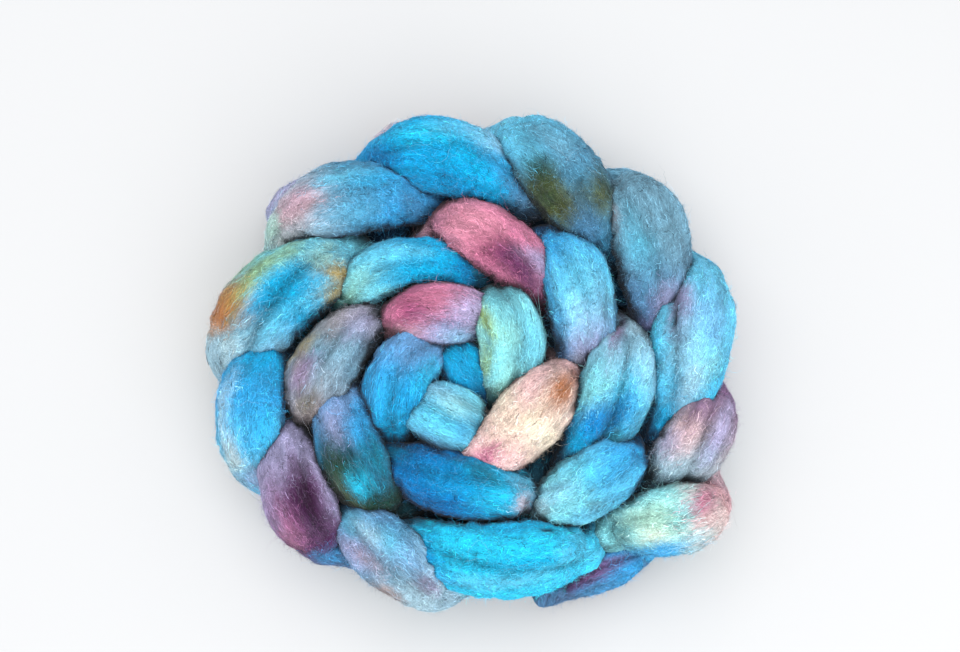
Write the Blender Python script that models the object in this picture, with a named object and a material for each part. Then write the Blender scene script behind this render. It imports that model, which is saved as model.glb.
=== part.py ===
"""A braid of combed wool top: one thick, soft length of combed fibre, chained like
crochet and wound from the middle outwards into a flat coil that lies on its back.

Each stitch of the chain is a loop. Its upper leg shows on the face as a fat lobe and
dives under the next stitch's tail. There it wraps round into the lower leg, which lies
under the upper one and meets the surface. From the lower leg's tail the length runs on
through the inside of the coil to the next stitch. The strand is swept along that route,
and its pressed-together turns are fused into one solid.
"""

import math
from collections import namedtuple

import bmesh
import bpy
import numpy as np

MM = 0.001
NODE_NAME = "roving_coil"

# Heights above the surface that the coil lies on, in millimetres.
WRAP_HEIGHT = 26.0
LOWER_MIDDLE_HEIGHT = 13.0
LOWER_END_HEIGHT = 19.0
FOOT_HEIGHT = 0.9  # what reaches lower than this is pressed flat
MOST_HALF_DEPTH = 14.5  # a broad lobe is flattened to this half thickness

# The hidden part of each stitch, in millimetres. It is pressed broad and flat, so that
# each turn of the coil closes up against the next.
NECK_INSET = 8.0
RUN_INSET = 12.0
RUN_HEIGHT = 26.0
RUN_HALF_WIDTH = 19.0
RUN_HALF_DEPTH = 5.5
WRAP_REACH = 8.0
END_HALF_WIDTH = 5.0
END_TUCK = 0.8  # share of the last tail's distance from the middle

# Shares of a lobe's half width.
TAIL_SHARE = 0.7
TIP_SHARE = 0.7
WRAP_SHARE = 0.66
NECK_SHARE = 0.55
LUMP_SHARE = 0.035  # how uneven the loose fibre is

# Shares of a leg's length.
CROWN = 0.38  # where it is first at its full height and width
NARROWING = 0.5  # where it starts to narrow towards its tip
LEG_STOPS = [0.0, 0.12, 0.3, 0.5, 0.7, 0.88, 1.0]

CREASE_SPREAD = 17.0  # degrees around the strand

# How finely the strand is swept and then fused.
SECTION_SIDES = 36
RING_SPACING = 2.5
FUSE_VOXEL = 1.6
SMOOTH_PASSES = 1
MOST_TRIANGLES = 10_400

WOOL_COLOUR = (0.10, 0.42, 0.62, 1.0)
WOOL_ROUGHNESS = 0.95

# One row for each stitch, from the middle of the coil outwards, in millimetres.
# tail and tip: where the upper leg starts and ends on plan; it travels clockwise.
# bow: how far its middle swells outwards from the straight line between them.
# width: of the lobe at its fullest.
# rise, tail_z, tip_z: height of its centre line at the crown and at the two ends.
# under: how far the lower leg stands out beyond the upper one.
# crease_tail, crease_tip: where a crease lies, in degrees outwards from the crown of the
# section, at the tail and at the tip. crease: how deep it is.
Stitch = namedtuple(
    "Stitch",
    "tail_x tail_y tip_x tip_y bow width rise tail_z tip_z under "
    "crease_tail crease_tip crease",
)
STITCHES = [
    Stitch(-11.5, 2.5, 4.5, -16.5, 0.0, 21.5, 34.0, 27.0, 28.0, 0.0, 0.0, 0.0, 0.0),
    Stitch(-0.5, -29.0, -22.0, -17.0, 1.0, 25.0, 41.0, 31.0, 31.0, 0.0, 20.0, -10.0, 0.8),
    Stitch(-29.5, -26.5, -17.5, 5.0, 4.5, 26.0, 41.0, 30.0, 32.0, 0.0, 15.0, -15.0, 1.0),
    Stitch(-30.0, 14.0, 5.0, 13.5, 2.0, 25.5, 40.0, 30.0, 32.0, 0.0, -30.0, -25.0, 1.0),
    Stitch(7.5, 21.0, 9.5, -14.0, 5.5, 26.5, 41.5, 30.0, 32.0, 0.0, 20.0, 20.0, 1.6),
    Stitch(34.0, -8.0, -0.5, -41.0, 2.5, 26.5, 43.0, 31.0, 37.0, 0.0, 0.0, 0.0, 0.6),
    Stitch(18.0, -53.5, -30.0, -41.0, 2.5, 26.0, 40.5, 29.0, 32.0, 0.0, -25.0, 10.0, 1.0),
    Stitch(-34.5, -55.5, -51.5, -11.0, 5.0, 25.0, 40.5, 29.0, 32.0, 0.0, 10.0, -20.0, 1.0),
    Stitch(-62.5, -23.0, -42.5, 14.0, 4.0, 26.0, 41.0, 29.0, 32.0, 0.0, -20.0, 15.0, 0.9),
    Stitch(-51.0, 25.5, -0.5, 33.5, 6.5, 21.0, 40.5, 30.0, 32.0, 0.0, -25.0, -10.0, 0.9),
    Stitch(-12.0, 53.5, 26.5, 26.0, 4.5, 25.0, 41.5, 30.0, 32.0, 0.0, 20.0, -10.0, 0.8),
    Stitch(30.5, 44.5, 40.5, -3.5, 5.5, 25.5, 41.5, 30.0, 32.0, 0.0, -15.0, 15.0, 1.0),
    Stitch(58.0, 6.0, 38.5, -37.5, 3.5, 27.5, 42.0, 30.0, 32.0, 0.0, -12.0, 35.0, 2.4),
    Stitch(57.0, -38.5, 25.0, -58.5, 2.0, 25.0, 42.0, 30.0, 32.0, -3.0, 25.0, 5.0, 1.0),
    Stitch(38.5, -71.5, -23.0, -70.0, 6.5, 26.5, 41.0, 29.0, 32.0, -5.0, 45.0, -5.0, 1.8),
    Stitch(-17.5, -87.5, -48.5, -60.5, 1.0, 24.0, 40.0, 29.0, 32.0, -6.0, 30.0, 5.0, 1.3),
    Stitch(-58.5, -68.0, -71.5, -29.5, 3.0, 26.5, 41.0, 29.0, 32.0, -4.0, -5.0, -50.0, 1.6),
    Stitch(-84.0, -40.0, -78.5, 2.5, 4.0, 25.5, 41.0, 29.0, 32.0, -2.0, -10.0, 20.0, 0.9),
    Stitch(-92.0, 4.0, -54.0, 37.5, 4.0, 33.5, 41.0, 29.0, 32.0, 1.0, -45.0, 20.0, 2.4),
    Stitch(-72.5, 53.5, -22.5, 62.0, 4.5, 28.0, 41.5, 29.0, 32.0, 10.0, -25.0, 10.0, 0.9),
    Stitch(-33.5, 81.0, 15.5, 65.0, 5.0, 31.0, 42.0, 29.0, 32.0, 9.0, -15.0, 20.0, 1.2),
    Stitch(14.5, 87.0, 49.5, 46.5, 4.5, 31.0, 42.0, 29.0, 32.0, 0.0, 25.0, -15.0, 0.8),
    Stitch(60.0, 66.0, 70.0, 15.0, 4.0, 29.5, 42.0, 29.0, 32.0, 0.0, -25.0, 5.0, 1.0),
    Stitch(86.5, 30.0, 72.5, -25.0, 2.5, 30.0, 41.5, 29.0, 32.0, -2.0, -75.0, 5.0, 2.4),
    Stitch(90.5, -19.0, 71.5, -47.5, 1.5, 25.0, 41.0, 29.0, 32.0, -3.0, -25.0, 45.0, 1.8),
    Stitch(87.0, -58.0, 55.0, -64.5, 3.0, 26.5, 41.0, 29.0, 32.0, -4.0, 15.0, -20.0, 0.9),
    Stitch(61.0, -76.0, 31.5, -87.0, -1.0, 17.0, 22.0, 17.0, 16.0, -2.0, 0.0, 0.0, 0.8),
]


def plan_of(row, share, out=0.0):
    """Where a leg lies on plan at a share of its length, moved out by a distance."""
    tail = np.array([row.tail_x, row.tail_y])
    tip = np.array([row.tip_x, row.tip_y])
    travel = (tip - tail) / np.linalg.norm(tip - tail)
    outward = np.array([-travel[1], travel[0]])
    swell = 4.0 * share * (1.0 - share)
    return tail + (tip - tail) * share + outward * (row.bow * swell + out)


def rise_and_dive(share):
    """0 where a leg comes up and where it dives, and 1 at its crown."""
    if share < CROWN:
        return math.sin(math.pi / 2.0 * share / CROWN)
    return 1.0 - ((share - CROWN) / (1.0 - CROWN)) ** 2.2


def half_width(row, share):
    """Half of a leg's width: blunt where it comes up and narrower where it dives."""
    up = math.sin(math.pi / 2.0 * min(share / CROWN, 1.0))
    down = max(0.0, (share - NARROWING) / (1.0 - NARROWING)) ** 2
    return row.width / 2.0 * (1.0 - (1.0 - TAIL_SHARE) * (1.0 - up)) * (1.0 - (1.0 - TIP_SHARE) * down)


def stop(x, y, z, across, deep, crease_at=0.0, crease=0.0):
    """One control point: place, half width, half depth, and the crease there."""
    return (x, y, z, across, min(deep, MOST_HALF_DEPTH), crease_at, crease)


def upper_leg(row):
    """Control points of the leg that shows on the face, from its tail to its tip."""
    points = []
    for share in LEG_STOPS:
        end_z = row.tail_z if share < CROWN else row.tip_z
        z = end_z + (row.rise - end_z) * rise_and_dive(share)
        across = half_width(row, share)
        crease_at = row.crease_tail + (row.crease_tip - row.crease_tail) * share
        crease = row.crease * math.sin(math.pi * share) ** 0.5
        points.append(stop(*plan_of(row, share), z, across, across, crease_at, crease))
    return points


def lower_leg(row):
    """Control points of the leg that lies underneath, from its tip back to its tail."""
    points = []
    for share in reversed(LEG_STOPS):
        fall = (LOWER_MIDDLE_HEIGHT - LOWER_END_HEIGHT) * rise_and_dive(share)
        across = half_width(row, share)
        place = plan_of(row, share, row.under)
        points.append(stop(*place, LOWER_END_HEIGHT + fall, across, across))
    return points


def wrap(row):
    """The control point where a loop turns round behind the next stitch."""
    tip = plan_of(row, 1.0)
    travel = tip - plan_of(row, 0.0)
    beyond = tip + travel / np.linalg.norm(travel) * WRAP_REACH
    half = row.width / 2.0 * WRAP_SHARE
    return stop(*beyond, WRAP_HEIGHT, half, half)


def hidden_run(row, following):
    """Control points from the lower leg's tail to the next stitch's tail, inside."""
    tail = plan_of(row, 0.0)
    after = plan_of(following, 0.0)
    onward = (after - tail) / np.linalg.norm(after - tail)
    inward = np.array([onward[1], -onward[0]])
    neck = tail + inward * NECK_INSET
    points = [stop(*neck, RUN_HEIGHT, row.width / 2.0 * NECK_SHARE, RUN_HALF_DEPTH)]
    for share in (0.3, 0.65):
        place = tail + (after - tail) * share + inward * RUN_INSET
        points.append(stop(*place, RUN_HEIGHT, RUN_HALF_WIDTH, RUN_HALF_DEPTH))
    return points


def tucked_end(row):
    """The strand's last control point, tucked in under the coil."""
    tail = plan_of(row, 0.0)
    return stop(*(tail * END_TUCK), LOWER_MIDDLE_HEIGHT, END_HALF_WIDTH, END_HALF_WIDTH)


def route():
    """Every control point of the strand, from the middle of the coil outwards."""
    points = []
    for row, following in zip(STITCHES, STITCHES[1:]):
        points += [*upper_leg(row), wrap(row), *lower_leg(row)]
        points += hidden_run(row, following)
    final = STITCHES[-1]
    points += [*upper_leg(final), wrap(final), *lower_leg(final), tucked_end(final)]
    return np.array(points)


def smooth_curve(points, spacing):
    """Evenly spaced points of a smooth curve through these, and how far along each is."""
    steps = np.sqrt(np.linalg.norm(np.diff(points[:, :3], axis=0), axis=1))
    knots = np.concatenate([[0.0], np.cumsum(steps)])
    slopes = np.gradient(points, knots, axis=0)
    t = np.linspace(0.0, 1.0, 24, endpoint=False)[:, None]
    dense = []
    for i, gap in enumerate(np.diff(knots)):
        dense.append(
            (2 * t**3 - 3 * t**2 + 1) * points[i]
            + (t**3 - 2 * t**2 + t) * slopes[i] * gap
            + (3 * t**2 - 2 * t**3) * points[i + 1]
            + (t**3 - t**2) * slopes[i + 1] * gap
        )
    dense = np.concatenate([*dense, points[-1:]])
    gone = np.linalg.norm(np.diff(dense[:, :3], axis=0), axis=1)
    along = np.concatenate([[0.0], np.cumsum(gone)])
    at = np.linspace(0.0, along[-1], int(along[-1] / spacing) + 2)
    even = np.stack([np.interp(at, along, column) for column in dense.T], axis=1)
    return even, at


def unit(vectors):
    return vectors / np.linalg.norm(vectors, axis=-1, keepdims=True)


def section_directions(centres):
    """Two directions square to the strand at each point, turning as little as they can."""
    tangents = unit(np.gradient(centres, axis=0))
    sides = [unit(np.cross(tangents[0], [0.0, 0.0, 1.0]))]
    for tangent in tangents[1:]:
        sides.append(unit(sides[-1] - tangent * np.dot(sides[-1], tangent)))
    sides = np.array(sides)
    return sides, np.cross(tangents, sides)


def lumps(along, around):
    """The unevenness of loose fibre, from -1 to 1, along the strand and around it."""
    return (
        np.sin(along / 9.0 + 2.0 * around)
        + np.sin(along / 5.3 - around + 1.7)
        + np.sin(along / 14.0 + 3.0 * around + 0.6)
    ) / 3.0


def crease_troughs(around, crown, crease_at, crease):
    """How far the surface is drawn in by the crease, around each section."""
    off = around[None, :] - (crown - np.radians(crease_at))[:, None]
    off = (off + math.pi) % (2.0 * math.pi) - math.pi
    return crease[:, None] * np.exp(-((off / math.radians(CREASE_SPREAD)) ** 2))


def swept_strand():
    """Points and faces of the strand as one long tube with closed ends."""
    curve, along = smooth_curve(route(), RING_SPACING)
    centres = curve[:, :3]
    across, deep, crease_at, crease = curve[:, 3:].T
    rights, ups = section_directions(centres)
    around = np.arange(SECTION_SIDES) * 2.0 * math.pi / SECTION_SIDES
    crown = np.arctan2(ups[:, 2], rights[:, 2])
    reach = across[:, None] * (1.0 + LUMP_SHARE * lumps(along[:, None], around[None, :]))
    reach = reach - crease_troughs(around, crown, crease_at, crease)
    offsets = (
        np.cos(around)[None, :, None] * rights[:, None, :]
        + np.sin(around)[None, :, None] * ups[:, None, :]
    )
    offsets = offsets * reach[:, :, None]
    offsets[:, :, 2] *= (deep / across)[:, None]
    points = (centres[:, None, :] + offsets).reshape(-1, 3)
    rings = len(centres)
    faces = []
    for start in range(0, (rings - 1) * SECTION_SIDES, SECTION_SIDES):
        for side in range(SECTION_SIDES):
            here, there = start + side, start + (side + 1) % SECTION_SIDES
            faces.append((here, there, there + SECTION_SIDES, here + SECTION_SIDES))
    faces.append(tuple(range(SECTION_SIDES - 1, -1, -1)))
    last = (rings - 1) * SECTION_SIDES
    faces.append(tuple(range(last, last + SECTION_SIDES)))
    return points, faces


def as_object(name, points, faces):
    mesh = bpy.data.meshes.new(name)
    mesh.from_pydata((points * MM).tolist(), [], faces)
    mesh.update()
    made = bpy.data.objects.new(name, mesh)
    bpy.context.scene.collection.objects.link(made)
    return made


def apply_modifiers(thing):
    """Turns the object's mesh into what its modifiers make of it."""
    graph = bpy.context.evaluated_depsgraph_get()
    made = bpy.data.meshes.new_from_object(thing.evaluated_get(graph), depsgraph=graph)
    thing.modifiers.clear()
    thing.data = made


def fuse(strand):
    """Fuses the pressed-together turns into one skin."""
    join = strand.modifiers.new("fuse", "REMESH")
    join.mode = "VOXEL"
    join.voxel_size = FUSE_VOXEL * MM
    soften = strand.modifiers.new("soften", "SMOOTH")
    soften.iterations = SMOOTH_PASSES
    soften.factor = 0.5
    apply_modifiers(strand)


def thin_out(strand):
    """Lowers the number of triangles to what the solid may have."""
    triangles = sum(len(face.vertices) - 2 for face in strand.data.polygons)
    thin = strand.modifiers.new("thin", "DECIMATE")
    thin.ratio = min(1.0, MOST_TRIANGLES / triangles)
    thin.use_collapse_triangulate = True
    apply_modifiers(strand)


def connected_points(bm):
    """The points of each separate skin, the smallest skin first."""
    unseen = set(bm.verts)
    skins = []
    while unseen:
        front = [unseen.pop()]
        skin = list(front)
        while front:
            near = {e.other_vert(v) for v in front for e in v.link_edges} & unseen
            unseen -= near
            front = list(near)
            skin += front
        skins.append(skin)
    return sorted(skins, key=len)


def drop_pockets(bm):
    """Deletes the closed pockets between the turns, which lie inside the outer skin."""
    for skin in connected_points(bm)[:-1]:
        bmesh.ops.delete(bm, geom=skin, context="VERTS")


def press_flat(bm):
    """Cuts the undersides level, where the wool rests on the surface."""
    whole = bm.verts[:] + bm.edges[:] + bm.faces[:]
    cut = bmesh.ops.bisect_plane(
        bm,
        geom=whole,
        dist=1e-6,
        plane_co=(0.0, 0.0, FOOT_HEIGHT * MM),
        plane_no=(0.0, 0.0, -1.0),
        clear_outer=True,
    )
    rim = [e for e in cut["geom_cut"] if isinstance(e, bmesh.types.BMEdge)]
    bmesh.ops.holes_fill(bm, edges=rim, sides=0)
    bmesh.ops.triangulate(bm, faces=[f for f in bm.faces if len(f.verts) > 3])


def stand_on_origin(bm):
    """Moves the solid so that its box stands on the origin."""
    places = np.array([v.co for v in bm.verts])
    low, high = places.min(axis=0), places.max(axis=0)
    middle = (low + high) / 2.0
    bmesh.ops.translate(bm, vec=(-middle[0], -middle[1], -low[2]), verts=bm.verts)


def edit(thing, *steps):
    """Runs these steps on the object's mesh."""
    bm = bmesh.new()
    bm.from_mesh(thing.data)
    for step in steps:
        step(bm)
    bmesh.ops.recalc_face_normals(bm, faces=bm.faces)
    bm.to_mesh(thing.data)
    bm.free()


def wool():
    material = bpy.data.materials.new("wool")
    material.use_nodes = True
    surface = material.node_tree.nodes["Principled BSDF"]
    surface.inputs["Base Color"].default_value = WOOL_COLOUR
    surface.inputs["Roughness"].default_value = WOOL_ROUGHNESS
    surface.inputs["Metallic"].default_value = 0.0
    return material


def main():
    for old in list(bpy.data.objects):
        bpy.data.objects.remove(old)
    coil = as_object(NODE_NAME, *swept_strand())
    fuse(coil)
    edit(coil, drop_pockets)
    thin_out(coil)
    edit(coil, press_flat, stand_on_origin)
    coil.data.shade_smooth()
    coil.data.materials.append(wool())


main()
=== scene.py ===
"""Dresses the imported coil: a braid of hand-dyed, combed wool top, chained and coiled."""

import math
from collections import namedtuple
from itertools import product

import bpy
import numpy as np
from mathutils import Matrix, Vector
from mathutils.bvhtree import BVHTree


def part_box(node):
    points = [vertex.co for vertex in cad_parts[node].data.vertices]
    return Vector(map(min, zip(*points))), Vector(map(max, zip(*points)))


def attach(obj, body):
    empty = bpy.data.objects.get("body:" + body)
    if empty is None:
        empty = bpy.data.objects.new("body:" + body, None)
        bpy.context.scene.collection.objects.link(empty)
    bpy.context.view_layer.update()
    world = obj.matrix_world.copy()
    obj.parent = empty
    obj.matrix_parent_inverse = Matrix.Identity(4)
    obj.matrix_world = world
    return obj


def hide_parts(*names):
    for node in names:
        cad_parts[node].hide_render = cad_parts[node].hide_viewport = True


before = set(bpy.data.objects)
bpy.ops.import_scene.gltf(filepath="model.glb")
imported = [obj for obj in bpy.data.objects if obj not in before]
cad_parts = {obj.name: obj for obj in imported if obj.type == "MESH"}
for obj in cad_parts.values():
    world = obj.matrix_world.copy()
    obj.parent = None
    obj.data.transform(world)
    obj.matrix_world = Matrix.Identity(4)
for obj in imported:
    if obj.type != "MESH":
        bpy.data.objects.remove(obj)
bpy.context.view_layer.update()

bl_info = {
    "name": "Braid of hand-dyed wool top",
    "version": (1, 0, 0),
    "blender": (4, 5, 0),
    "location": "3D View > Sidebar > Wool",
    "description": "Winds, dyes and combs a coiled chain of wool top around its packed solid",
    "category": "Add Mesh",
}

MM = 0.001
CAD_NODE = "roving_coil"
BODY = "root"

# ---------------------------------------------------------------------------
# The route of the strand, in millimetres, as its solid has it.

WRAP_HEIGHT = 26.0
LOWER_MIDDLE_HEIGHT = 13.0
LOWER_END_HEIGHT = 19.0
FOOT_HEIGHT = 0.9  # what reaches lower than this is pressed flat
MOST_HALF_DEPTH = 14.5  # a broad lobe is flattened to this half thickness
NECK_INSET = 8.0
RUN_INSET = 12.0
RUN_HEIGHT = 26.0
RUN_HALF_WIDTH = 19.0
RUN_HALF_DEPTH = 5.5
WRAP_REACH = 8.0
END_HALF_WIDTH = 5.0
END_TUCK = 0.8  # share of the last tail's distance from the middle

# Shares of a lobe's half width.
TAIL_SHARE = 0.7
TIP_SHARE = 0.7
WRAP_SHARE = 0.66
NECK_SHARE = 0.55

# Shares of a leg's length.
CROWN = 0.38
NARROWING = 0.5
LEG_STOPS = [0.0, 0.12, 0.3, 0.5, 0.7, 0.88, 1.0]

# A place on the strand is told by its phase: the number of its stitch, and then how far
# it is through it. The upper leg, which shows, comes first.
UPPER_ENDS = 0.4
WRAP_PHASE = 0.45
LOWER_STARTS = 0.5
LOWER_ENDS = 0.8
RUN_PHASES = [0.85, 0.9, 0.95]

# One row for each stitch, from the middle of the coil outwards, in millimetres.
# tail and tip: where the upper leg starts and ends on plan; it travels clockwise.
# bow: how far its middle swells outwards from the straight line between them.
# width: of the lobe at its fullest.
# rise, tail_z, tip_z: height of its centre line at the crown and at the two ends.
# under: how far the lower leg stands out beyond the upper one.
# crease_tail, crease_tip: where a crease lies, in degrees outwards from the crown of the
# section, at the tail and at the tip. crease: how deep it is.
Stitch = namedtuple(
    "Stitch",
    "tail_x tail_y tip_x tip_y bow width rise tail_z tip_z under "
    "crease_tail crease_tip crease",
)
STITCHES = [
    Stitch(-11.5, 2.5, 4.5, -16.5, 0.0, 21.5, 34.0, 27.0, 28.0, 0.0, 0.0, 0.0, 0.0),
    Stitch(-0.5, -29.0, -22.0, -17.0, 1.0, 25.0, 41.0, 31.0, 31.0, 0.0, 20.0, -10.0, 0.8),
    Stitch(-29.5, -26.5, -17.5, 5.0, 4.5, 26.0, 41.0, 30.0, 32.0, 0.0, 15.0, -15.0, 1.0),
    Stitch(-30.0, 14.0, 5.0, 13.5, 2.0, 25.5, 40.0, 30.0, 32.0, 0.0, -30.0, -25.0, 1.0),
    Stitch(7.5, 21.0, 9.5, -14.0, 5.5, 26.5, 41.5, 30.0, 32.0, 0.0, 20.0, 20.0, 1.6),
    Stitch(34.0, -8.0, -0.5, -41.0, 2.5, 26.5, 43.0, 31.0, 37.0, 0.0, 0.0, 0.0, 0.6),
    Stitch(18.0, -53.5, -30.0, -41.0, 2.5, 26.0, 40.5, 29.0, 32.0, 0.0, -25.0, 10.0, 1.0),
    Stitch(-34.5, -55.5, -51.5, -11.0, 5.0, 25.0, 40.5, 29.0, 32.0, 0.0, 10.0, -20.0, 1.0),
    Stitch(-62.5, -23.0, -42.5, 14.0, 4.0, 26.0, 41.0, 29.0, 32.0, 0.0, -20.0, 15.0, 0.9),
    Stitch(-51.0, 25.5, -0.5, 33.5, 6.5, 21.0, 40.5, 30.0, 32.0, 0.0, -25.0, -10.0, 0.9),
    Stitch(-12.0, 53.5, 26.5, 26.0, 4.5, 25.0, 41.5, 30.0, 32.0, 0.0, 20.0, -10.0, 0.8),
    Stitch(30.5, 44.5, 40.5, -3.5, 5.5, 25.5, 41.5, 30.0, 32.0, 0.0, -15.0, 15.0, 1.0),
    Stitch(58.0, 6.0, 38.5, -37.5, 3.5, 27.5, 42.0, 30.0, 32.0, 0.0, -12.0, 35.0, 2.4),
    Stitch(57.0, -38.5, 25.0, -58.5, 2.0, 25.0, 42.0, 30.0, 32.0, -3.0, 25.0, 5.0, 1.0),
    Stitch(38.5, -71.5, -23.0, -70.0, 6.5, 26.5, 41.0, 29.0, 32.0, -5.0, 45.0, -5.0, 1.8),
    Stitch(-17.5, -87.5, -48.5, -60.5, 1.0, 24.0, 40.0, 29.0, 32.0, -6.0, 30.0, 5.0, 1.3),
    Stitch(-58.5, -68.0, -71.5, -29.5, 3.0, 26.5, 41.0, 29.0, 32.0, -4.0, -5.0, -50.0, 1.6),
    Stitch(-84.0, -40.0, -78.5, 2.5, 4.0, 25.5, 41.0, 29.0, 32.0, -2.0, -10.0, 20.0, 0.9),
    Stitch(-92.0, 4.0, -54.0, 37.5, 4.0, 33.5, 41.0, 29.0, 32.0, 1.0, -45.0, 20.0, 2.4),
    Stitch(-72.5, 53.5, -22.5, 62.0, 4.5, 28.0, 41.5, 29.0, 32.0, 10.0, -25.0, 10.0, 0.9),
    Stitch(-33.5, 81.0, 15.5, 65.0, 5.0, 31.0, 42.0, 29.0, 32.0, 9.0, -15.0, 20.0, 1.2),
    Stitch(14.5, 87.0, 49.5, 46.5, 4.5, 31.0, 42.0, 29.0, 32.0, 0.0, 25.0, -15.0, 0.8),
    Stitch(60.0, 66.0, 70.0, 15.0, 4.0, 29.5, 42.0, 29.0, 32.0, 0.0, -25.0, 5.0, 1.0),
    Stitch(86.5, 30.0, 72.5, -25.0, 2.5, 30.0, 41.5, 29.0, 32.0, -2.0, -75.0, 5.0, 2.4),
    Stitch(90.5, -19.0, 71.5, -47.5, 1.5, 25.0, 41.0, 29.0, 32.0, -3.0, -25.0, 45.0, 1.8),
    Stitch(87.0, -58.0, 55.0, -64.5, 3.0, 26.5, 41.0, 29.0, 32.0, -4.0, 15.0, -20.0, 0.9),
    Stitch(61.0, -76.0, 31.5, -87.0, -1.0, 17.0, 22.0, 17.0, 16.0, -2.0, 0.0, 0.0, 0.8),
]

# ---------------------------------------------------------------------------
# Dyes, as red, green and blue on the screen's scale of 0 to 255.

DYES = {
    "turquoise": (0, 168, 222),
    "azure": (48, 164, 228),
    "deep_blue": (0, 118, 188),
    "cyan": (36, 204, 248),
    "sky": (98, 202, 238),
    "ice": (150, 216, 246),
    "aqua": (130, 220, 232),
    "mint": (148, 222, 212),
    "seafoam": (180, 230, 208),
    "lime": (164, 192, 96),
    "fog": (168, 204, 220),
    "cream": (252, 232, 204),
    "blush": (234, 186, 186),
    "pink": (224, 144, 166),
    "rose": (204, 118, 150),
    "raspberry": (160, 62, 102),
    "plum": (84, 36, 82),
    "blackberry": (46, 20, 46),
    "mauve": (142, 98, 140),
    "lilac": (172, 166, 206),
    "periwinkle": (112, 160, 212),
    "slate": (72, 118, 160),
    "denim": (72, 140, 176),
    "navy": (0, 78, 136),
    "steel": (110, 160, 184),
    "dove": (166, 160, 168),
    "taupe": (160, 134, 126),
    "forest": (30, 60, 48),
    "olive": (78, 82, 30),
    "teal": (16, 110, 130),
    "ochre": (174, 116, 48),
    "gold": (176, 144, 66),
    "rust": (178, 100, 48),
}

# The dyes that a stitch goes through: at its upper leg's tail, middle and tip, and
# then on its lower leg. One row for each stitch.
Base = namedtuple("Base", "tail middle tip lower")
BASES = [
    Base("turquoise", "turquoise", "azure", "slate"),
    Base("aqua", "sky", "sky", "azure"),
    Base("turquoise", "azure", "periwinkle", "teal"),
    Base("rose", "rose", "lilac", "mauve"),
    Base("aqua", "aqua", "aqua", "sky"),
    Base("blush", "cream", "blush", "taupe"),
    Base("cyan", "deep_blue", "deep_blue", "turquoise"),
    Base("forest", "azure", "periwinkle", "deep_blue"),
    Base("dove", "steel", "dove", "steel"),
    Base("aqua", "turquoise", "turquoise", "mint"),
    Base("pink", "rose", "rose", "rose"),
    Base("azure", "sky", "periwinkle", "periwinkle"),
    Base("fog", "sky", "turquoise", "dove"),
    Base("azure", "sky", "aqua", "sky"),
    Base("cyan", "cyan", "cyan", "slate"),
    Base("fog", "denim", "periwinkle", "cyan"),
    Base("plum", "lilac", "lilac", "azure"),
    Base("sky", "azure", "turquoise", "steel"),
    Base("fog", "turquoise", "sky", "mint"),
    Base("fog", "denim", "azure", "periwinkle"),
    Base("turquoise", "turquoise", "turquoise", "blush"),
    Base("sky", "denim", "denim", "turquoise"),
    Base("steel", "steel", "slate", "azure"),
    Base("sky", "sky", "turquoise", "lilac"),
    Base("mauve", "dove", "fog", "sky"),
    Base("blush", "mint", "aqua", "aqua"),
    Base("azure", "azure", "slate", "slate"),
]

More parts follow.
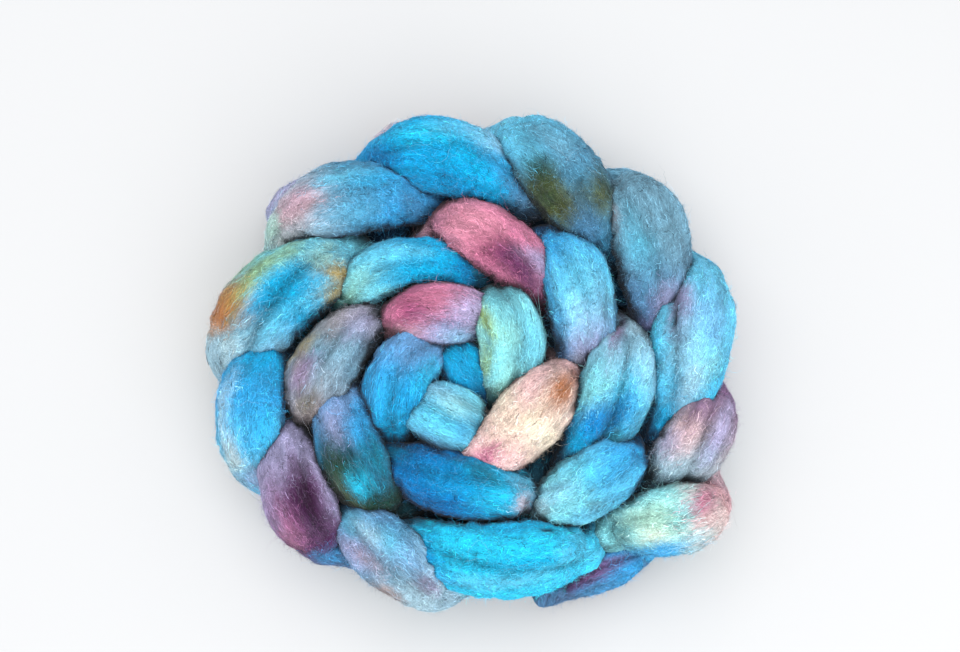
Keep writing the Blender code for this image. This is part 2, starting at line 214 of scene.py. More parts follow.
# Where the dyes were splashed on, for each stitch by its number. place: share of the upper
# leg, from its tail. out: how far outwards from its middle line, as a share of its half
# width. length and breadth: how far the dye runs along and across, as shares of the same
# two. strength: how well it took. A later splash lies over the ones before it.
Splash = namedtuple("Splash", "dye place out length breadth strength")
SPLASHES = {
    1: [
        ("deep_blue", 0.7, -0.15, 0.25, 0.5, 0.35),
        ("azure", 0.25, 0.1, 0.2, 0.5, 0.4),
    ],
    2: [
        ("ice", 0.85, -0.65, 0.45, 0.3, 0.8),
        ("cyan", 0.5, -0.1, 0.4, 0.5, 0.4),
        ("azure", 0.2, 0.05, 0.25, 0.5, 0.6),
        ("denim", 0.2, 0.05, 0.15, 0.4, 0.4),
        ("slate", 0.4, 0.95, 0.55, 0.25, 0.75),
        ("seafoam", 0.5, -0.5, 0.25, 0.3, 0.4),
    ],
    3: [
        ("deep_blue", 0.4, -0.3, 0.15, 0.35, 0.55),
        ("periwinkle", 0.85, 0.55, 0.25, 0.6, 0.7),
        ("azure", 0.4, 0.75, 0.3, 0.4, 0.6),
        ("cyan", 0.65, -0.5, 0.25, 0.35, 0.6),
    ],
    4: [
        ("raspberry", 0.15, 0.55, 0.2, 0.4, 0.8),
        ("rose", 0.45, 0.65, 0.3, 0.3, 0.8),
        ("lilac", 0.85, 0.3, 0.2, 0.6, 0.85),
        ("lilac", 0.55, -0.45, 0.4, 0.45, 0.95),
        ("sky", 0.65, -0.65, 0.25, 0.3, 0.55),
        ("periwinkle", 0.5, -0.15, 0.2, 0.25, 0.35),
        ("blush", 0.0, -0.25, 0.2, 0.25, 0.5),
        ("plum", 0.2, 0.4, 0.15, 0.25, 0.4),
    ],
    5: [
        ("lime", 0.15, -0.45, 0.2, 0.25, 0.95),
        ("lime", 0.6, -0.8, 0.15, 0.25, 0.7),
        ("sky", 0.5, 0.5, 0.4, 0.4, 0.6),
        ("seafoam", 0.95, -0.1, 0.1, 0.4, 0.7),
        ("teal", -0.15, 0.1, 0.1, 0.5, 0.5),
        ("mint", 0.35, 0.0, 0.2, 0.3, 0.7),
        ("mint", 0.8, 0.1, 0.15, 0.35, 0.6),
    ],
    6: [
        ("taupe", 0.05, -0.45, 0.1, 0.45, 0.7),
        ("blush", 0.25, -0.65, 0.2, 0.35, 0.9),
        ("blush", 0.8, 0.5, 0.15, 0.35, 0.7),
        ("pink", 0.95, 0.0, 0.1, 0.3, 0.9),
        ("rose", 0.9, 0.05, 0.05, 0.2, 0.8),
        ("rust", 0.05, 0.15, 0.15, 0.35, 0.95),
        ("taupe", 0.25, 0.2, 0.1, 0.15, 0.5),
    ],
    7: [
        ("deep_blue", 0.9, -0.4, 0.2, 0.45, 0.8),
        ("forest", 0.35, -0.45, 0.15, 0.3, 0.75),
        ("cyan", 0.15, 0.2, 0.2, 0.45, 0.7),
        ("steel", 0.0, -0.3, 0.1, 0.3, 0.6),
        ("blush", -0.05, 0.25, 0.1, 0.35, 0.7),
        ("teal", 1.05, -0.45, 0.1, 0.3, 0.7),
        ("navy", 0.6, 0.7, 0.25, 0.25, 0.5),
        ("turquoise", 0.55, -0.15, 0.2, 0.35, 0.8),
        ("deep_blue", 0.6, -0.15, 0.2, 0.35, 0.4),
        ("teal", 0.5, -0.7, 0.1, 0.25, 0.6),
    ],
    8: [
        ("teal", 0.45, -0.6, 0.2, 0.4, 0.9),
        ("forest", 0.45, 0.65, 0.3, 0.7, 1.0),
        ("cyan", 0.25, 0.3, 0.1, 0.3, 0.75),
        ("forest", 0.05, 0.5, 0.1, 0.8, 1.0),
        ("lilac", 0.8, 0.3, 0.15, 0.4, 0.7),
        ("azure", 0.7, -0.5, 0.15, 0.4, 0.8),
        ("periwinkle", 0.95, -0.1, 0.1, 0.55, 0.7),
        ("olive", 0.2, 0.95, 0.15, 0.35, 0.7),
    ],
    9: [
        ("gold", 0.55, 1.05, 0.15, 0.2, 0.7),
        ("taupe", 0.85, 0.7, 0.15, 0.35, 0.5),
        ("mauve", 0.35, 0.7, 0.15, 0.3, 0.7),
        ("steel", 0.7, -0.25, 0.3, 0.55, 0.9),
        ("taupe", 0.05, 0.2, 0.15, 0.45, 0.6),
        ("dove", 0.5, -0.15, 0.2, 0.4, 0.25),
        ("lilac", 1.0, 0.05, 0.15, 0.45, 0.6),
        ("olive", 0.1, 0.35, 0.1, 0.25, 0.5),
    ],
    10: [
        ("turquoise", 0.7, 0.1, 0.2, 0.5, 0.85),
        ("deep_blue", 0.95, 0.2, 0.1, 0.6, 0.7),
        ("sky", 0.45, 0.65, 0.2, 0.35, 0.8),
        ("mint", 0.1, 0.15, 0.15, 0.5, 0.7),
        ("lime", 0.35, -0.6, 0.1, 0.15, 0.45),
        ("turquoise", 0.5, -0.55, 0.2, 0.4, 0.5),
        ("lime", 0.05, -0.1, 0.05, 0.3, 0.25),
    ],
    11: [
        ("pink", 0.05, 0.15, 0.15, 0.4, 0.8),
        ("raspberry", 0.5, 0.0, 0.25, 0.5, 0.55),
        ("plum", 0.65, 0.15, 0.2, 0.45, 0.8),
        ("plum", 0.8, -0.05, 0.1, 0.35, 0.65),
        ("lilac", 0.9, 0.55, 0.2, 0.3, 0.85),
        ("pink", 0.2, 0.0, 0.15, 0.45, 0.5),
        ("mauve", 1.0, -0.2, 0.1, 0.5, 0.6),
        ("pink", 0.2, 0.55, 0.25, 0.25, 0.6),
        ("plum", -0.05, -0.15, 0.05, 0.35, 0.4),
    ],
    12: [
        ("azure", 0.0, 0.0, 0.1, 0.4, 0.9),
        ("sky", 0.25, 0.35, 0.2, 0.45, 0.9),
        ("lilac", 0.85, 0.2, 0.2, 0.5, 0.8),
        ("azure", 0.4, -0.8, 0.3, 0.25, 0.6),
        ("ice", 0.55, -0.15, 0.2, 0.4, 0.6),
        ("dove", 1.05, 0.05, 0.1, 0.4, 0.7),
        ("steel", 0.5, 0.7, 0.25, 0.25, 0.5),
    ],
    13: [
        ("ice", 0.1, -0.05, 0.2, 0.45, 0.8),
        ("mauve", 0.0, -0.25, 0.15, 0.15, 0.85),
        ("aqua", 0.45, -0.45, 0.25, 0.5, 1.0),
        ("cyan", 0.3, 0.3, 0.2, 0.25, 0.6),
        ("deep_blue", 0.75, -0.15, 0.15, 0.4, 1.0),
        ("deep_blue", 0.55, 0.3, 0.15, 0.4, 0.9),
        ("forest", 0.85, 0.5, 0.1, 0.35, 0.75),
        ("turquoise", 0.9, -0.3, 0.1, 0.4, 0.6),
        ("azure", 0.4, 0.65, 0.15, 0.2, 0.6),
    ],
    14: [
        ("azure", 0.0, -0.1, 0.2, 0.5, 0.8),
        ("aqua", 0.8, -0.4, 0.3, 0.6, 0.95),
        ("blush", 1.1, -0.1, 0.1, 0.35, 0.3),
        ("cyan", 0.55, -0.4, 0.25, 0.4, 0.45),
        ("olive", 0.55, 0.7, 0.1, 0.2, 0.7),
        ("azure", 0.65, 0.8, 0.25, 0.2, 0.3),
        ("azure", 0.3, 0.05, 0.2, 0.35, 0.5),
        ("aqua", 0.75, 0.25, 0.15, 0.3, 0.7),
        ("ice", 0.85, -0.35, 0.25, 0.35, 0.6),
    ],
    15: [
        ("deep_blue", 1.0, 0.35, 0.1, 0.6, 0.85),
        ("sky", 0.45, 0.65, 0.3, 0.25, 0.8),
        ("deep_blue", 0.45, -0.95, 0.35, 0.2, 0.4),
        ("cyan", 0.2, -0.1, 0.2, 0.45, 0.6),
        ("sky", 0.0, 0.05, 0.1, 0.55, 0.6),
        ("cyan", 0.7, -0.25, 0.2, 0.35, 0.8),
        ("cyan", 0.45, -0.35, 0.25, 0.35, 0.7),
        ("turquoise", 0.3, 0.15, 0.2, 0.25, 0.8),
        ("azure", 0.85, 0.75, 0.1, 0.25, 0.6),
    ],
    16: [
        ("lilac", 0.75, 0.55, 0.2, 0.45, 0.75),
        ("blush", 0.6, 0.55, 0.15, 0.2, 0.35),
        ("periwinkle", 0.4, -0.25, 0.2, 0.45, 0.6),
        ("steel", 0.55, -0.05, 0.2, 0.45, 0.45),
        ("taupe", 0.3, 1.0, 0.2, 0.25, 0.9),
        ("mauve", 0.05, 0.0, 0.1, 0.3, 0.6),
        ("sky", 1.0, -0.05, 0.15, 0.45, 0.7),
        ("sky", 0.6, -0.35, 0.15, 0.3, 0.7),
        ("fog", 0.05, 0.55, 0.2, 0.25, 0.7),
        ("fog", 0.8, -0.1, 0.15, 0.25, 0.6),
    ],
    17: [
        ("lilac", 0.9, -0.05, 0.2, 0.55, 0.85),
        ("lilac", 0.7, 0.7, 0.25, 0.3, 0.75),
        ("mauve", 0.45, 0.75, 0.25, 0.3, 0.6),
        ("plum", 0.45, 0.0, 0.3, 0.55, 1.0),
        ("plum", 0.05, 0.3, 0.15, 0.4, 0.6),
        ("raspberry", 0.3, 0.55, 0.15, 0.25, 0.3),
        ("lilac", 0.4, -0.85, 0.25, 0.25, 0.9),
        ("azure", -0.15, 0.05, 0.1, 0.35, 0.85),
        ("rose", 0.1, 0.8, 0.1, 0.25, 0.4),
        ("plum", 0.5, -0.25, 0.15, 0.35, 0.8),
        ("blackberry", 0.4, -0.1, 0.25, 0.35, 0.8),
        ("lilac", 0.7, 0.55, 0.2, 0.25, 0.5),
    ],
    18: [
        ("turquoise", 1.0, -0.1, 0.15, 0.5, 0.85),
        ("cream", 0.05, 0.7, 0.2, 0.25, 0.5),
        ("azure", 0.2, 0.1, 0.15, 0.4, 0.5),
        ("fog", 0.5, 0.95, 0.3, 0.2, 0.7),
        ("lilac", -0.15, 0.1, 0.1, 0.35, 0.6),
        ("azure", 0.6, -0.05, 0.25, 0.4, 0.7),
        ("turquoise", 0.35, -0.4, 0.2, 0.3, 0.5),
    ],
    19: [
        ("ochre", 0.2, 0.75, 0.2, 0.55, 1.0),
        ("rust", 0.15, 0.9, 0.15, 0.3, 0.7),
        ("olive", 0.2, 0.65, 0.05, 0.15, 0.6),
        ("lime", 0.5, 0.95, 0.2, 0.3, 0.75),
        ("lime", 0.8, 0.85, 0.15, 0.25, 0.6),
        ("turquoise", 0.55, 0.1, 0.25, 0.45, 0.85),
        ("turquoise", 0.5, 0.15, 0.2, 0.3, 0.6),
        ("sky", 0.0, 0.25, 0.15, 0.35, 0.65),
        ("cream", -0.05, 0.2, 0.1, 0.25, 0.3),
        ("turquoise", 0.65, -0.3, 0.2, 0.2, 0.9),
        ("turquoise", 0.5, -0.3, 0.15, 0.25, 0.6),
        ("sky", 0.8, -0.35, 0.2, 0.2, 0.85),
        ("gold", 0.95, -0.15, 0.1, 0.3, 0.95),
        ("gold", 0.85, -0.5, 0.1, 0.2, 0.85),
        ("seafoam", 0.95, 0.4, 0.1, 0.2, 0.7),
        ("sky", 0.25, -0.2, 0.2, 0.25, 0.7),
        ("ochre", 0.0, 0.8, 0.1, 0.15, 0.6),
    ],
    20: [
        ("blush", 0.1, 0.55, 0.2, 0.55, 0.8),
        ("mauve", 0.1, 0.7, 0.15, 0.4, 0.4),
        ("seafoam", -0.15, 0.2, 0.1, 0.4, 0.7),
        ("azure", 0.8, -0.1, 0.2, 0.35, 0.6),
        ("turquoise", 0.75, 0.75, 0.15, 0.2, 0.6),
        ("slate", 0.4, -0.9, 0.3, 0.2, 0.6),
        ("sky", 0.5, 0.9, 0.2, 0.2, 0.7),
        ("denim", 0.5, -0.05, 0.2, 0.4, 0.55),
        ("slate", 1.0, -0.05, 0.1, 0.35, 0.6),
        ("taupe", -0.05, -0.25, 0.15, 0.2, 0.5),
        ("dove", 0.2, -0.35, 0.15, 0.25, 0.2),
        ("sky", 0.45, -0.1, 0.2, 0.35, 0.2),
    ],
    21: [
        ("deep_blue", -0.05, 0.1, 0.15, 0.3, 0.85),
        ("deep_blue", 0.3, 0.1, 0.15, 0.3, 0.7),
        ("cyan", 0.2, 0.8, 0.2, 0.2, 0.7),
        ("fog", 0.75, 1.0, 0.15, 0.25, 0.6),
        ("deep_blue", 0.65, -0.5, 0.25, 0.3, 0.75),
        ("azure", 0.2, -0.6, 0.15, 0.25, 0.6),
        ("turquoise", 0.5, -0.1, 0.3, 0.45, 0.9),
        ("slate", 1.0, 0.15, 0.1, 0.4, 0.7),
        ("sky", 0.45, 1.05, 0.2, 0.2, 0.6),
        ("azure", 0.85, 0.45, 0.1, 0.3, 0.6),
        ("turquoise", 0.5, -0.35, 0.3, 0.35, 0.7),
        ("deep_blue", 0.5, -0.4, 0.25, 0.35, 0.45),
    ],
    22: [
        ("sky", -0.1, 0.25, 0.15, 0.35, 0.8),
        ("olive", 0.4, -0.25, 0.2, 0.45, 1.0),
        ("olive", 0.6, -0.5, 0.15, 0.45, 1.0),
        ("forest", 0.3, -0.1, 0.15, 0.3, 0.8),
        ("olive", 0.55, -0.35, 0.15, 0.35, 0.8),
        ("olive", 0.75, 0.6, 0.2, 0.4, 1.0),
        ("forest", 0.75, 0.85, 0.1, 0.25, 0.7),
        ("slate", 0.85, -0.15, 0.15, 0.35, 0.6),
        ("steel", 0.25, 0.8, 0.2, 0.3, 0.6),
        ("denim", 0.55, 0.5, 0.15, 0.3, 0.8),
        ("forest", 0.5, -0.4, 0.1, 0.25, 0.75),
        ("forest", 0.2, 0.0, 0.1, 0.25, 0.5),
    ],
    23: [
        ("steel", 0.05, 0.6, 0.2, 0.4, 0.6),
        ("sky", 0.4, -0.2, 0.2, 0.45, 0.85),
        ("denim", 0.8, 0.0, 0.2, 0.45, 0.5),
        ("mauve", 1.0, -0.25, 0.1, 0.55, 0.5),
        ("taupe", 0.1, -0.55, 0.2, 0.15, 0.6),
        ("steel", 0.45, 0.75, 0.25, 0.25, 0.7),
        ("slate", 0.8, -0.7, 0.15, 0.25, 0.6),
        ("lilac", 0.9, 0.35, 0.15, 0.25, 0.6),
    ],
    24: [
        ("sky", -0.05, 0.1, 0.1, 0.35, 0.7),
        ("lilac", 0.2, -0.2, 0.2, 0.35, 0.7),
        ("periwinkle", 0.3, 0.55, 0.25, 0.35, 0.65),
        ("sky", 0.8, -0.55, 0.2, 0.2, 0.7),
        ("cyan", 0.55, -0.95, 0.15, 0.2, 0.8),
        ("turquoise", 1.05, 0.0, 0.1, 0.45, 0.85),
        ("sky", 0.45, 0.1, 0.25, 0.45, 0.85),
        ("periwinkle", 0.3, 0.25, 0.15, 0.35, 0.5),
        ("ice", 0.5, -0.1, 0.2, 0.35, 0.85),
        ("fog", 0.75, 0.35, 0.2, 0.35, 0.7),
        ("aqua", 0.6, 0.75, 0.15, 0.2, 0.6),
        ("mauve", 0.2, -0.3, 0.15, 0.3, 0.55),
    ],
    25: [
        ("mauve", 0.0, -0.1, 0.2, 0.4, 0.5),
        ("lilac", 0.1, 0.6, 0.25, 0.2, 0.8),
        ("periwinkle", 0.5, 0.65, 0.15, 0.25, 0.4),
        ("lilac", 0.3, 0.6, 0.25, 0.3, 0.6),
        ("fog", 0.9, -0.35, 0.15, 0.35, 0.6),
        ("blush", 0.45, -0.4, 0.25, 0.4, 0.6),
        ("plum", 0.2, -0.35, 0.2, 0.1, 0.4),
        ("fog", 0.85, 0.3, 0.15, 0.3, 0.9),
        ("lilac", 0.65, -0.7, 0.15, 0.3, 0.6),
    ],
    26: [
        ("aqua", 0.6, -0.85, 0.3, 0.25, 0.85),
        ("seafoam", 0.65, -0.05, 0.35, 0.5, 0.95),
        ("cream", 0.65, 0.4, 0.2, 0.3, 0.4),
        ("blush", 0.0, 0.35, 0.2, 0.45, 0.85),
        ("rose", 0.0, -0.2, 0.2, 0.35, 0.8),
        ("azure", 0.7, 0.85, 0.3, 0.2, 1.0),
        ("forest", 1.15, 0.25, 0.15, 0.45, 0.6),
        ("aqua", 0.3, -0.1, 0.15, 0.4, 0.6),
        ("raspberry", 0.0, -0.4, 0.1, 0.25, 0.6),
        ("fog", 0.25, 0.8, 0.2, 0.25, 0.7),
    ],
    27: [
        ("azure", 0.1, 0.4, 0.25, 0.45, 0.7),
        ("plum", 0.6, 0.05, 0.4, 0.45, 0.9),
        ("plum", 0.95, 0.1, 0.2, 0.35, 0.5),
        ("slate", 0.5, 0.85, 0.2, 0.25, 0.6),
        ("mauve", 0.5, 0.05, 0.3, 0.3, 0.35),
    ],
}

# ---------------------------------------------------------------------------
# The shape of the wool

# How far apart rings lie at each phase of a stitch, as a multiple of the ring spacing.
RING_SPREAD = [(0.0, 1.0), (0.4, 1.0), (0.46, 2.2), (0.8, 2.2), (0.88, 5.0), (0.94, 5.0), (1.0, 1.0)]
CURVE_STEPS = 24  # points of the smooth curve between two control points
RUN_SHARES = (0.3, 0.65)  # where a hidden run's control points lie on its way
DIVE_POWER = 2.2  # how late and steeply a leg dives
CREASE_FALL = 1.4  # how a crease's sides slope
GROOVE_WIDTH = 0.12  # of a groove, on the scale of the noise that it follows
LATTICE = 64  # the noise repeats after this many cells
LATTICE_OFFSET = 20.0  # where the middle of the strand lies on the noise's last axis
TINY = 1e-9  # keeps a direction from having no length

# Noise that follows the strand: how far its bumps are drawn out along it, their size in
# millimetres, and the seed.
Noise = namedtuple("Noise", "stretch size seed")
LUMPS = Noise(1.6, 11.0, 1)
PLEATS = Noise(9.0, 4.2, 2)
FINE_PLEATS = Noise(5.0, 2.2, 3)
PUFFS = Noise(1.1, 7.0, 11)
TUFTS = Noise(1.2, 3.6, 12)
SQUEEZES = Noise(1.5, 14.0, 13)
CRINKLES = Noise(0.45, 7.0, 14)
FINE_PLEATS_SHARE = 0.4
TUFTS_SHARE = 0.5
SQUEEZE_CONTRAST = 3.0
PLEATS_LEVEL = 0.6  # these two keep the average of the pleats and of the dents near none
DENTS_LEVEL = 0.45

# ---------------------------------------------------------------------------
# How the dye took, and the shade painted into it

SCREEN_GAMMA = 2.2
DYE_PALING = 0.92  # less than 1 makes each dye paler
BASE_PHASES = [0.04, 0.2, 0.36, 0.58, 0.78]  # where the four dyes lie, the last one twice
SPLASH_REACH = (-0.06, 0.88)  # the phases between which a stitch's splashes can lie
SPLASH_EDGE = 0.7  # a splash is exp(-0.7), or half, as strong at its edge
SPLASH_FALL = 1.4  # how steeply a splash fades at its edge
RAGGEDNESS = 0.35  # how uneven a splash's edge is
LOWER_TAKE = 0.5  # how well a splash took on the leg below

# How much of each noise moves a splash along its leg, moves it across, makes its edge
# ragged, and mottles the dye.
WANDER_ALONG = [(0.09, Noise(1.0, 7.0, 4)), (0.05, Noise(4.0, 1.8, 5))]
WANDER_ACROSS = [(0.12, Noise(1.5, 6.0, 8))]
RAGGED = [(1.0, Noise(3.0, 3.0, 6)), (0.6, Noise(6.0, 1.2, 7))]
MOTTLING = [(1.0, Noise(3.0, 3.5, 9)), (0.7, Noise(6.0, 1.6, 10))]
MOTTLE = 0.1  # how strongly the dye is mottled
COMB_STRETCH = 2.0  # how drawn out the fine streaks are

# Painted shade: how much darker the wool is painted down in a groove, and for each millimetre of a
# crease.
PAINTED_GROOVE_SHADE = 0.22
MOST_GROOVES = 1.5  # grooves that meet darken the wool no more than this many do
PAINTED_CREASE_SHADE = 0.3
PAINTED_CREASE_LINE = 0.7  # width of a crease's dark line, as a share of the crease's
DARKEST_PAINTED_CREASE = 0.6

# Where the face is looked at from, for the places of the splashes, in millimetres.
SEEN_MIDDLE = (0.0, 0.0, 28.0)
SEEN_FROM = math.radians(79.0)
SEEN_DISTANCE = 500.0

# Painted crevice shade: how light the wool is painted for the share of the sky it sees, and how that
# share is found: by this many rays at each point, which start off the wool and reach so many
# millimetres.
PAINTED_CREVICE_SHADES = [(0.0, 0.01), (0.2, 0.03), (0.36, 0.16), (0.5, 0.62), (0.62, 0.94), (0.75, 1.0)]
# painted shade: the wool under the top fibres is painted darker, as if in their shadow
PAINTED_SHADE_UNDER_FIBRES = 0.76  # the wool under the top fibres is darker than they are
# painted light: the palest wool is spared part of the painted crevice shade
PALE_SHADE_SPARING = 0.3  # how much of that darkening the palest wool is spared
SKY_RAYS = 14
SKY_START = 1.0
SKY_REACH = 16.0
ASLANT = (0.31, 0.52, 0.79)  # a direction at a slant to nearly all of the surface

# Wool this deep inside the solid doesn't show, and wool less deep by this much does fully.
HIDDEN_DEPTH = 2.2
HIDDEN_FADE = 2.4

# The flat map: how much of a cell each phase takes, and how the cells are laid out.
ATLAS_SHARES = [(0.0, 0.0), (0.45, 0.6), (0.8, 0.9), (1.0, 1.0)]
ATLAS_COLUMNS = 5
ATLAS_ROWS = 6
ATLAS_MARGIN = 0.01
STITCH_END = 0.999  # the last phase that still counts as the same stitch

# ---------------------------------------------------------------------------
# The fibres

# length and width: of a fibre, on average, in millimetres. steps: straight pieces in it.
# tilt: how far its heading strays from the strand's, in radians. bend and crimp: how much
# it curves and waves. lift: how far its tip stands off. arch: how far its middle may.
# sink: how deep it is rooted. lightness: how undyed some are. shaded: how far the painted crevice
# shade darkens it.
Comb = namedtuple("Comb", "length steps tilt bend crimp width lift arch sink lightness shaded")
COMBED = Comb(3.4, 3, 0.75, 1.3, 1.1, 0.16, 0.15, 0.5, 0.15, 0.02, 0.9)
FUZZ = Comb(4.6, 4, 3.0, 1.8, 1.0, 0.09, 1.5, 0.4, 0.2, 0.1, 0.5)
STRAY = Comb(12.0, 10, 1.2, 2.4, 0.5, 0.06, 3.2, 0.4, 0.3, 0.25, 0.5)
COMBED_SEED = 30
FUZZ_SEED = 40
STRAY_SEED = 41
COMBED_PIECES = 3

# How many fibres grow where the surface faces down (-1), sideways (0) and up (1): those
# that lie on it, and those that stand off it by more than the given lift.
LYING_SHARES = [(-1.0, 0.15), (-0.3, 0.25), (0.0, 0.6), (0.5, 1.0), (1.0, 1.0)]
RAISED_SHARES = [(-1.0, 0.15), (-0.5, 0.6), (0.0, 2.4), (0.4, 1.1), (1.0, 0.6)]
RAISED_LIFT = 1.0
LEAST_OPEN = 0.25  # the share of its fibres that wool down in a gap still has
END_MARGIN = 1.01  # rings at the strand's end that nothing grows on

LENGTH_SPAN = (0.55, 1.45)  # the shortest and the longest fibre against the average one
WIDTH_SPAN = (0.5, 1.5)
ROOT_WIDTH = 1.05  # a fibre tapers from this share of its width, at its root, to 0.05 at its tip
CRIMPS = 2.8  # how quickly a fibre waves, in radians for each millimetre
LIFT_SPREAD = 2.2  # shape of the spread of lifts: the lower, the more unequal they are
MOST_LIFT = 2.7  # the highest fibre against the average one
LIFT_POWER = 1.7  # how late on its way a fibre rises
ROLL = 0.5  # how far a ribbon turns about its own length, in radians
FLOOR_GAP = 0.05  # no fibre lies nearer to the floor than this
LOCK_VARIETY = 0.4  # how much lighter or darker one fibre is than the next
DYE_DRIFT = (1.6, 0.7)  # from how many rings and sides off a fibre may have its dye
PALE_WOOL = np.array([0.80, 0.84, 0.86])  # the least dyed of the wool

# ---------------------------------------------------------------------------
# The stage, in metres

FLOOR_SIZE = 40.0
FLOOR_DROP = 0.0002  # how far it lies below the coil, so that the two don't meet
FLOOR_PATCHES = 0.985  # how light the floor is where it is darkest
KEY_SIZE = (1.4, 1.2)
KEY_PLACE = (-0.15, 0.15, 1.2)
FILL_SIZE = (1.2, 1.2)
FILL_PLACE = (0.4, -0.9, 0.9)
ROOM_COLOUR = (0.95, 0.97, 1.0, 1.0)
CAMERA_TARGET = (0.0026, -0.0039, 0.0271)  # the camera's distance is from here
CAMERA_AIM = (0.0046, 0.0083, 0.0295)

# ---------------------------------------------------------------------------
# Settings


def in_millimetres(name, description, default, least=0.0):
    """A size setting in millimetres."""
    return bpy.props.FloatProperty(
        name=name,
        description=f"{description}, in millimetres",
        default=default,
        min=least,
    )


def how_many(name, description, default, least=0):
    """A setting for a number of things."""
    return bpy.props.IntProperty(name=name, description=description, default=default, min=least)


class WoolSettings(bpy.types.PropertyGroup):
    """How the strand is wound and how uneven it is."""

    sides: how_many("Sides", "Number of sides of the strand's section", 44, 12)
    ring_spacing: in_millimetres(
        "Ring spacing", "Distance between rings where the strand shows", 1.4, 0.5
    )
    lump_depth: in_millimetres("Lumps", "How uneven the loose wool is", 0.8)
    pleat_depth: in_millimetres("Pleats", "Depth of the grooves along the strand", 0.7)
    puff_depth: in_millimetres("Puffs", "Depth of the dents between puffs of loose wool", 1.3)
    crinkle_depth: in_millimetres(
        "Crinkles", "Depth of the crinkles across the strand where it is squeezed", 0.9
    )
    crease_spread: bpy.props.FloatProperty(
        name="Crease width",
        description="Half width of a crease around the section",
        default=math.radians(12.0),
        subtype="ANGLE",
    )
    crease_depth: bpy.props.FloatProperty(
        name="Crease depth",
        description="Depth of a crease against the solid's, as a factor",
        default=1.7,
    )


class FibreSettings(bpy.types.PropertyGroup):
    """How many fibres lie on the strand and stand off it."""

    combed_count: how_many("Combed fibres", "Number of fibres that lie along the strand", 87000)
    combed_length: in_millimetres("Combed length", "Average length of a lying fibre", COMBED.length)
    combed_width: in_millimetres("Lock width", "Average width of a lying lock", COMBED.width)
    fuzz_count: how_many("Fuzz", "Number of short fibres with raised tips", 24700)
    fuzz_lift: in_millimetres("Fuzz height", "How far the raised tips stand off", FUZZ.lift)
    stray_count: how_many("Stray fibres", "Number of long fibres that have worked loose", 2000)
    stray_lift: in_millimetres("Stray height", "How far the stray fibres stand off", STRAY.lift)


def dye_property(name, shade):
    """A colour setting for one dye."""
    return bpy.props.FloatVectorProperty(
        name=name.replace("_", " ").capitalize(),
        description="Colour of this dye on the wool",
        default=[level / 255.0 for level in shade],
        size=3,
        min=0.0,
        max=1.0,
        subtype="COLOR_GAMMA",
    )


class DyeSettings(bpy.types.PropertyGroup):
    """The colour of each dye."""

    __annotations__ = {name: dye_property(name, shade) for name, shade in DYES.items()}


class StageSettings(bpy.types.PropertyGroup):
    """The floor, the lights and the camera."""

    floor_colour: bpy.props.FloatVectorProperty(
        name="Floor",
        description="Colour of the floor",
        default=(0.5, 0.5, 0.5),
        size=3,
        subtype="COLOR",
    )
    key_power: bpy.props.FloatProperty(
        name="Key light",
        description="Power of the large soft light behind and above the coil",
        default=11.0,
        subtype="POWER",
    )
    fill_power: bpy.props.FloatProperty(
        name="Fill light",
        description="Power of the soft light in front",
        default=12.0,
        subtype="POWER",
    )
    sky_strength: bpy.props.FloatProperty(
        name="Room light",
        description="Strength of the light from all round",
        default=1.1,
    )
    camera_elevation: bpy.props.FloatProperty(
        name="Camera elevation",
        description="Angle of the camera above the horizon",
        default=math.radians(79.0),
        subtype="ANGLE",
    )
    camera_distance: bpy.props.FloatProperty(
        name="Camera distance",
        description="Distance of the camera from the coil",
        default=0.500,
        unit="LENGTH",
        subtype="DISTANCE",
    )
    lens: bpy.props.FloatProperty(
        name="Lens",
        description="Focal length of the camera, in millimetres",
        default=48.0,
    )


# ---------------------------------------------------------------------------
# Winding the strand


def plan_of(row, share, out=0.0):
    """Where a leg lies on plan at a share of its length, moved out by a distance."""
    tail = np.array([row.tail_x, row.tail_y])
    tip = np.array([row.tip_x, row.tip_y])
    travel = (tip - tail) / np.linalg.norm(tip - tail)
    outward = np.array([-travel[1], travel[0]])
    swell = 4.0 * share * (1.0 - share)
    return tail + (tip - tail) * share + outward * (row.bow * swell + out)


def rise_and_dive(share):
    """0 where a leg comes up and where it dives, and 1 at its crown."""
    if share < CROWN:
        return math.sin(math.pi / 2.0 * share / CROWN)
    return 1.0 - ((share - CROWN) / (1.0 - CROWN)) ** DIVE_POWER


def half_width(row, share):
    """Half of a leg's width: blunt where it comes up and narrower where it dives."""
    up = math.sin(math.pi / 2.0 * min(share / CROWN, 1.0))
    down = max(0.0, (share - NARROWING) / (1.0 - NARROWING)) ** 2
    full = row.width / 2.0
    return full * (1.0 - (1.0 - TAIL_SHARE) * (1.0 - up)) * (1.0 - (1.0 - TIP_SHARE) * down)


def stop(x, y, z, across, deep, phase, crease_at=0.0, crease=0.0):
    """One control point: place, half width, half depth, the crease there, and phase."""
    return (x, y, z, across, min(deep, MOST_HALF_DEPTH), crease_at, crease, phase)


def upper_leg(row):
    """Control points of the leg that shows on the face, from its tail to its tip."""
    points = []
    for share in LEG_STOPS:
        end_z = row.tail_z if share < CROWN else row.tip_z
        z = end_z + (row.rise - end_z) * rise_and_dive(share)
        across = half_width(row, share)
        crease_at = row.crease_tail + (row.crease_tip - row.crease_tail) * share
        crease = row.crease * math.sin(math.pi * share) ** 0.5
        phase = UPPER_ENDS * share
        points.append(stop(*plan_of(row, share), z, across, across, phase, crease_at, crease))
    return points


def lower_leg(row):
    """Control points of the leg that lies underneath, from its tip back to its tail."""
    points = []
    for share in reversed(LEG_STOPS):
        fall = (LOWER_MIDDLE_HEIGHT - LOWER_END_HEIGHT) * rise_and_dive(share)
        across = half_width(row, share)
        phase = LOWER_ENDS + (LOWER_STARTS - LOWER_ENDS) * share
        place = plan_of(row, share, row.under)
        points.append(stop(*place, LOWER_END_HEIGHT + fall, across, across, phase))
    return points


